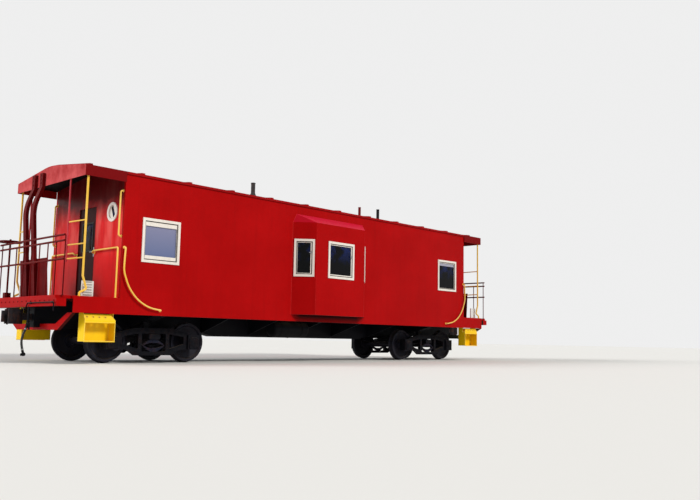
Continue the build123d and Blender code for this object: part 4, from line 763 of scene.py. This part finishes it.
def fastener_tree(kind):
    """Node tree: heads of one kind and size at all spots, turned along each spot's axis."""
    tree = bpy.data.node_groups.new(f"fastener_{kind}", "GeometryNodeTree")
    face = tree.interface
    face.new_socket("Spots", in_out="INPUT", socket_type="NodeSocketGeometry")
    for size_name in HEAD_SIZES:
        face.new_socket(size_name, in_out="INPUT", socket_type="NodeSocketFloat")
    face.new_socket("Finish", in_out="INPUT", socket_type="NodeSocketMaterial")
    face.new_socket("Heads", in_out="OUTPUT", socket_type="NodeSocketGeometry")
    nodes, link = tree.nodes, tree.links.new
    given = nodes.new("NodeGroupInput")
    result = nodes.new("NodeGroupOutput")
    head = head_node(nodes, kind)
    size = nodes.new("ShaderNodeCombineXYZ")
    for size_name, axis_name in zip(HEAD_SIZES, "XYZ"):
        link(given.outputs[size_name], size.inputs[axis_name])
    axis = nodes.new("GeometryNodeInputNamedAttribute")
    axis.data_type = "FLOAT_VECTOR"
    axis.inputs["Name"].default_value = "axis"
    align = nodes.new("FunctionNodeAlignRotationToVector")
    align.axis = "Z"
    link(axis.outputs["Attribute"], align.inputs["Vector"])
    spread = nodes.new("GeometryNodeInstanceOnPoints")
    link(given.outputs["Spots"], spread.inputs["Points"])
    link(head.outputs["Mesh"], spread.inputs["Instance"])
    link(align.outputs["Rotation"], spread.inputs["Rotation"])
    link(size.outputs["Vector"], spread.inputs["Scale"])
    real = nodes.new("GeometryNodeRealizeInstances")
    link(spread.outputs["Instances"], real.inputs["Geometry"])
    coat = nodes.new("GeometryNodeSetMaterial")
    link(real.outputs["Geometry"], coat.inputs["Geometry"])
    link(given.outputs["Finish"], coat.inputs["Material"])
    link(coat.outputs["Geometry"], result.inputs["Heads"])
    return tree


FASTENERS = {kind: fastener_tree(kind) for kind in ("rivet", "bolt", "lozenge", "disc", "bar")}


def grown(name, mesh, tree, values):
    """Runs a node tree on the mesh and returns the result as a plain mesh."""
    seed = new_object(name + "_seed", mesh)
    modifier = seed.modifiers.new("nodes", "NODES")
    modifier.node_group = tree
    for item in tree.interface.items_tree:
        if item.in_out == "INPUT" and item.name in values:
            modifier[item.identifier] = values[item.name]
    graph = bpy.context.evaluated_depsgraph_get()
    result = bpy.data.meshes.new_from_object(seed.evaluated_get(graph))
    result.name = name
    bpy.data.objects.remove(seed)
    return result


def fasteners(name, kind, finish, spots, radius, height, width=None, body="car_body"):
    """Heads at spots, a list of (place, axis).

    radius and width are half a head's size along its two sides, and a round head needs only its radius.
    height is how far it stands out.
    """
    mesh = bpy.data.meshes.new(name + "_spots")
    mesh.from_pydata([tuple(place) for place, _ in spots], [], [])
    axis = mesh.attributes.new("axis", "FLOAT_VECTOR", "POINT")
    axis.data.foreach_set("vector", [value for _, direction in spots for value in direction])
    values = dict(zip(HEAD_SIZES, (radius, width or radius, height)), Finish=FINISH[finish])
    heads = grown(name, mesh, FASTENERS[kind], values)
    finish_object(name, heads, finish, body, smooth=kind == "rivet")


def line(start, end, pitch):
    """Points along a line at about the pitch, both ends included."""
    start, end = Vector(start), Vector(end)
    count = max(1, round((end - start).length / pitch))
    return [start.lerp(end, index / count) for index in range(count + 1)]


def row(start, end, pitch, axis):
    """Spots along a line at about the pitch, all on the same axis."""
    return [(point, axis) for point in line(start, end, pitch)]


# Rows of fasteners, and the plates' patterns
def make_roof_fasteners():
    """Rivets along the roof seams and the fascia plates."""
    seam_phase = 0.310
    seam_pitch = 1.147
    seam_height = 0.026
    slope_rivets = 8
    first_y = 0.35
    rivet_pitch = 0.16
    slope = math.atan2(ROOF_RISE, ROOF_EDGE)
    seam_count = math.ceil(ROOF_END / seam_pitch)
    spots = []
    for index in range(-seam_count, seam_count + 1):
        x = seam_phase + index * seam_pitch
        if abs(x) > ROOF_END - 0.05:
            continue
        for _, side in SIDES:
            for step in range(slope_rivets):
                y = first_y + rivet_pitch * step
                z = EAVES_Z + (ROOF_EDGE - y) * ROOF_RISE / ROOF_EDGE + seam_height
                spots.append(((x, side * y, z), (0, side * math.sin(slope), math.cos(slope))))
    fasteners("roof_seam_rivets", "rivet", "roof", spots, radius=0.011, height=0.006)

    z = ROOF_LOW.z + 0.032
    end_pitch = 0.152
    side_pitch = 0.15
    spots = []
    for _, end in ENDS:
        x = end * ROOF_END
        spots += row((x, 0.03 - ROOF_EDGE, z), (x, ROOF_EDGE - 0.03, z), end_pitch, (end, 0, 0))
        for _, side in SIDES:
            first = (end * (BODY_END + 0.04), side * ROOF_EDGE, z)
            last = (end * (ROOF_END - 0.03), side * ROOF_EDGE, z)
            spots += row(first, last, side_pitch, (0, side, 0))
    fasteners("fascia_rivets", "rivet", "roof", spots, radius=0.009, height=0.004)


def frame_screws(width):
    """Points round a window's frame, each corner once."""
    inset = 0.015
    pitch = 0.2
    x, z = width / 2 - inset, WINDOW_HEIGHT / 2 - inset
    bottom = line((-x, 0, -z), (x, 0, -z), pitch)
    top = line((-x, 0, z), (x, 0, z), pitch)
    left = line((-x, 0, -z), (-x, 0, z), pitch)
    right = line((x, 0, -z), (x, 0, z), pitch)
    return bottom + top + left[1:-1] + right[1:-1]


def make_window_screws():
    """Countersunk screw heads round every window frame and porthole ring."""
    frame_face = -0.020
    bay_front_face = -0.0178
    ring_radius = 0.170
    ring_screws = 8
    spots = []
    for name, place, width, _ in window_places():
        out = place.to_3x3() @ Vector((0, -1, 0))
        face = Vector((0, bay_front_face if "bay_front" in name else frame_face, 0))
        spots += [(place @ (point + face), out) for point in frame_screws(width)]
    for _, end in ENDS:
        for index in range(ring_screws):
            angle = math.tau * (index + 0.5) / ring_screws
            y = end * PORTHOLE_Y + ring_radius * math.cos(angle)
            z = PORTHOLE_Z + ring_radius * math.sin(angle)
            spots.append(((end * (BODY_END - frame_face), y, z), (end, 0, 0)))
    fasteners("window_screws", "rivet", "cream", spots, radius=0.007, height=0.0022)


def make_body_bolts():
    """Hexagon heads on the end beams, the curved posts' tops and the step boxes' cheeks."""
    beam_z = 1.205
    beam_y = 1.40
    post_face = ROOF_END + 0.0653
    post_zs = (3.69, 3.77, 3.85)
    cheek_y = 1.36
    cheek_zs = (1.02, 1.12, 1.20)
    spots = []
    for _, end in ENDS:
        x = end * BEAM_FACE
        spots += row((x, -beam_y, beam_z), (x, beam_y, beam_z), 0.2, (end, 0, 0))
        for post_y in POST_YS:
            for z in post_zs:
                spots.append(((end * post_face, -end * post_y, z), (end, 0, 0)))
        for _, side in SIDES:
            for z in cheek_zs:
                spots.append(((end * STEP_FACE, side * cheek_y, z), (end, 0, 0)))
    fasteners("body_bolts", "bolt", "deck", spots, radius=0.014, height=0.008)


def make_foot_flanges():
    """Round flanges where handrails, irons and poles meet the walls and decks."""
    iron_y = BODY_SIDE - 0.080
    pole_y = BODY_SIDE - 0.030
    baluster_x = BODY_END + 1.1527
    baluster_y = 1.46
    wall, deck, feet = [], [], []
    for _, end in ENDS:
        for _, side in SIDES:
            wall.append(((end * (BODY_END - 0.035), side * BODY_SIDE, SILL_Z + 1.330), (0, side, 0)))
            wall.append(((end * (BODY_END - 0.909), side * BODY_SIDE, SILL_Z + 0.107), (0, side, 0)))
            wall.append(((end * BODY_END, side * 0.389, FLOOR_Z + 0.970), (end, 0, 0)))
            for z in (SILL_Z + 1.560, EAVES_Z - 0.383):
                wall.append(((end * BODY_END, side * iron_y, z), (end, 0, 0)))
            deck.append(((end * (BODY_END + 0.060), side * iron_y, FLOOR_Z), (0, 0, 1)))
            deck.append(((end * (BODY_END + 0.840), side * pole_y, FLOOR_Z), (0, 0, 1)))
        x = end * baluster_x
        feet += row((x, -baluster_y, FLOOR_Z), (x, baluster_y, FLOOR_Z), 0.365, (0, 0, 1))
    fasteners("rail_flanges", "disc", "yellow", wall, radius=0.030, height=0.005)
    fasteners("pole_flanges", "disc", "yellow", deck, radius=0.034, height=0.006)
    fasteners("baluster_feet", "disc", "deck", feet, radius=0.024, height=0.006)


def under_post(y, end):
    """True where a lozenge in the deck's two outer rows would lie under a curved post."""
    inner_edge, outer_edge = 0.1, 0.3
    pair_y = -end * sum(POST_YS) / 2
    return inner_edge < abs(y - pair_y) < outer_edge


def make_tread_plates():
    """Raised lozenges of the chequer plate on the decks and the step treads, turned by turns."""
    half_length, half_width, height = 0.019, 0.0055, 0.0022
    deck_rows, deck_columns, deck_pitch = 17, 45, 0.055
    rows_clear_of_posts = 15
    step_rows, step_columns, step_pitches = 12, 5, (0.052, 0.046)
    tread_z = 0.455
    deck, steps = {0: [], 1: []}, {0: [], 1: []}
    for _, end in ENDS:
        for i in range(deck_rows):
            for j in range(deck_columns):
                x = BODY_END + 0.06 + deck_pitch * i
                y = -1.21 + deck_pitch * j
                if i < rows_clear_of_posts or not under_post(y, end):
                    deck[(i + j) % 2].append(((end * x, y, FLOOR_Z), (0, 0, 1)))
        for _, side in SIDES:
            for i in range(step_rows):
                for j in range(step_columns):
                    x = BODY_END + 0.10 + step_pitches[0] * i
                    y = 1.30 + step_pitches[1] * j
                    steps[(i + j) % 2].append(((end * x, side * y, tread_z), (0, 0, 1)))
    for place, lozenges, finish in (("deck", deck, "body"), ("step", steps, "step")):
        fasteners(f"{place}_lozenges_along", "lozenge", finish, lozenges[0], half_length, height, half_width)
        fasteners(f"{place}_lozenges_across", "lozenge", finish, lozenges[1], half_width, height, half_length)


def make_grating_bars():
    """A thin bar across each slot of the upright gratings."""
    slots = 6
    slot_pitch = 0.05
    first_slot_z = FLOOR_Z + 0.0275
    panel_x = GRATING_HIGH.x - 0.120
    panel_y = BODY_SIDE - 0.115
    spots = []
    for _, end in ENDS:
        for _, side in SIDES:
            for index in range(slots):
                z = first_slot_z + index * slot_pitch
                spots.append(((end * panel_x, side * panel_y, z), (0, 0, 1)))
    fasteners("grating_bars", "bar", "grate", spots, radius=0.0955, width=0.010, height=0.004)


def make_truck_fasteners():
    """Journal lid bolts and the column rivets beside the spring windows, turning with each truck."""
    lid_face = 1.0965
    frame_face = 1.0235
    bolt_spread = 0.095
    bolt_z = middle("axle_rear_b").z - 0.112
    column_offset = 0.335
    column_zs = (0.30, 0.40, 0.50, 0.58)
    for name, end in ENDS:
        truck = f"truck_{name}"
        bolts, rivets = [], []
        for _, side in SIDES:
            for step in (-1, 1):
                x = end * TRUCK_X + step * AXLE_OFFSET
                for dx in (-bolt_spread, bolt_spread):
                    bolts.append(((x + dx, side * lid_face, bolt_z), (0, side, 0)))
                x = end * TRUCK_X + step * column_offset
                for z in column_zs:
                    rivets.append(((x, side * frame_face, z), (0, side, 0)))
        fasteners(f"lid_bolts_{name}", "bolt", "cast", bolts, radius=0.015, height=0.010, body=truck)
        fasteners(f"column_rivets_{name}", "rivet", "cast", rivets, radius=0.014, height=0.009, body=truck)


def make_door_fittings():
    """A lever handle on its plate and a glazing trim on each end door, moving with the door."""
    glass_z = middle("door_rear_glass").z
    for name, end in ENDS:
        handle = bmesh.new()
        place = at(end * DOOR_FACE, 0, 0, 90 * end)
        add_box(handle, (0.285, -0.008, 2.20), (0.325, 0.0, 2.40), place, 0.003)
        add_box(handle, (0.293, -0.050, 2.293), (0.313, -0.006, 2.313), place, 0.003)
        add_box(handle, (0.195, -0.050, 2.294), (0.315, -0.036, 2.312), place, 0.005)
        finish_mesh(handle, f"door_handle_{name}", "zinc", f"door_{name}")
        trim = bmesh.new()
        place = at(end * DOOR_FACE, 0, glass_z, 90 * end)
        outer, inner = (-0.245, 0.245, -0.315, 0.315), (-0.205, 0.205, -0.275, 0.275)
        add_ring(trim, outer, inner, (-0.010, 0.0), place, bevel=0.003)
        finish_mesh(trim, f"door_trim_{name}", "gasket", f"door_{name}")


# Brake hoses: the route of part.py's front hose in metres, turned half round for the rear one
HOSE_ROUTE = [(-7.1005, -0.330, 0.690), (-7.1405, -0.330, 0.600), (-7.1725, -0.325, 0.480),
              (-7.1655, -0.312, 0.350), (-7.1305, -0.300, 0.240)]
HOSE_DIAMETER = 0.044
CLAMP_INSET = 0.035


def hose_points(end):
    """The route at one end of the car."""
    return [(-end * x, -end * y, z) for x, y, z in HOSE_ROUTE]


def hose_curve(name, points):
    curve = bpy.data.curves.new(name, "CURVE")
    curve.dimensions = "3D"
    curve.bevel_depth = HOSE_DIAMETER / 2
    curve.bevel_resolution = 6
    curve.resolution_u = 12
    curve.use_fill_caps = True
    spline = curve.splines.new("NURBS")
    spline.points.add(len(points) - 1)
    for control, point in zip(spline.points, points):
        control.co = (*point, 1.0)
    spline.order_u = 3
    spline.use_endpoint_u = True
    return curve


def make_hoses():
    """The brake hose at each end, with its clamps and its packed coupling."""
    for name, end in ENDS:
        points = hose_points(end)
        curve = hose_curve(f"hose_{name}", points)
        hose = new_object(f"hose_{name}", curve)
        curve.materials.append(FINISH["rubber"])
        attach(hose, "car_body")
        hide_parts(f"brake_hose_{name}")
        make_hose_clamps(name, points)


def add_band(bm, centre, axis, inner, outer, half):
    """A short closed band round an axis. Returns the band's own frame, with Z along the axis."""
    segments = 24
    place = Matrix.Translation(centre) @ axis.to_track_quat("Z", "Y").to_matrix().to_4x4()
    angles = [math.tau * k / segments for k in range(segments)]
    loops = []
    for radius, z in ((outer, -half), (outer, half), (inner, half), (inner, -half)):
        circle = [(radius * math.cos(angle), radius * math.sin(angle), z) for angle in angles]
        loops.append([bm.verts.new(place @ Vector(point)) for point in circle])
    bridge(bm, loops)
    return place


def make_hose_clamps(name, points):
    """A band clamp with its bolt lug near each end of the hose."""
    radius = HOSE_DIAMETER / 2
    bm = bmesh.new()
    for tip, neighbour in ((points[0], points[1]), (points[-1], points[-2])):
        along = (Vector(neighbour) - Vector(tip)).normalized()
        centre = Vector(tip) + along * CLAMP_INSET
        place = add_band(bm, centre, along, radius - 0.001, radius + 0.003, 0.010)
        add_box(bm, (radius, -0.008, -0.008), (radius + 0.016, 0.008, 0.008), place, 0.002)
    return finish_mesh(bm, f"hose_clamps_{name}", "zinc")


# Camera and studio
def make_camera():
    """Position and angles solved from the car's edges in the photograph."""
    position = Vector((-13.4795, -15.200, 0.576))
    yaw = math.radians(46.08)
    pitch = math.radians(6.693)
    roll = math.radians(1.028)
    ahead = Vector((math.sin(yaw) * math.cos(pitch), math.cos(yaw) * math.cos(pitch), math.sin(pitch)))
    level_right = Vector((math.cos(yaw), -math.sin(yaw), 0.0))
    level_up = level_right.cross(ahead)
    right = level_right * math.cos(roll) + level_up * math.sin(roll)
    up = level_up * math.cos(roll) - level_right * math.sin(roll)
    data = bpy.data.cameras.new("camera")
    data.sensor_width = 36.0
    data.lens = 39.09
    data.clip_end = 400.0
    camera = new_object("camera", data)
    camera.matrix_world = Matrix((right, up, -ahead)).transposed().to_4x4()
    camera.matrix_world.translation = position
    bpy.context.scene.camera = camera


def make_floor():
    """Pale matt floor, wide enough to reach the horizon."""
    bm = bmesh.new()
    bmesh.ops.create_grid(bm, x_segments=1, y_segments=1, size=150.0)
    floor = new_object("floor", bpy.data.meshes.new("floor"))
    bm.to_mesh(floor.data)
    bm.free()
    tree = Tree("studio_floor")
    floor.data.materials.append(tree.surface(BaseColor=(0.80, 0.78, 0.74, 1.0), Roughness=0.9,
                                             SpecularIORLevel=0.1,
                                             Normal=tree.bump(tree.noise(3.0), 0.1, 0.002)))


def make_sky():
    """Even cool sky light, and a pale backdrop for the camera, for gloss and behind glass."""
    world = bpy.data.worlds.new("studio")
    world.use_nodes = True
    bpy.context.scene.world = world
    nodes, link = world.node_tree.nodes, world.node_tree.links.new
    sky = nodes["Background"]
    sky.inputs["Color"].default_value = (0.90, 0.95, 1.0, 1.0)
    sky.inputs["Strength"].default_value = 0.42
    backdrop = nodes.new("ShaderNodeBackground")
    backdrop.inputs["Color"].default_value = (0.86, 0.86, 0.86, 1.0)
    backdrop.inputs["Strength"].default_value = 1.0
    path = nodes.new("ShaderNodeLightPath")
    shown = path.outputs["Is Camera Ray"]
    for ray in ("Is Transmission Ray", "Is Glossy Ray"):
        either = nodes.new("ShaderNodeMath")
        either.operation = "MAXIMUM"
        link(shown, either.inputs[0])
        link(path.outputs[ray], either.inputs[1])
        shown = either.outputs["Value"]
    blend = nodes.new("ShaderNodeMixShader")
    link(shown, blend.inputs["Fac"])
    link(sky.outputs["Background"], blend.inputs[1])
    link(backdrop.outputs["Background"], blend.inputs[2])
    link(blend.outputs["Shader"], nodes["World Output"].inputs["Surface"])


def make_sun(name, strength, angle, colour, direction):
    """Soft sun light from a direction, angle degrees wide."""
    lamp = bpy.data.lights.new(name, "SUN")
    lamp.energy = strength
    lamp.angle = math.radians(angle)
    lamp.color = colour
    holder = new_object(name, lamp)
    holder.matrix_world = Vector(direction).to_track_quat("Z", "Y").to_matrix().to_4x4()


def make_studio():
    """Pale floor and backdrop, sky light, a warm key from the near side and a cool fill from in front."""
    bpy.context.scene.view_settings.view_transform = "Standard"
    make_floor()
    make_sky()
    make_sun("key", 2.05, 12, (1.0, 0.97, 0.93), (0.20, -0.78, 0.59))
    make_sun("fill", 2.2, 24, (0.97, 0.98, 1.0), (-0.82, 0.38, 0.42))


make_camera()
make_hoses()
dress_nodes()
make_sashes()
make_blinds()
make_porthole_shades()
make_window_screws()
make_roof_fasteners()
make_body_bolts()
make_foot_flanges()
make_tread_plates()
make_grating_bars()
make_truck_fasteners()
make_door_fittings()
make_studio()
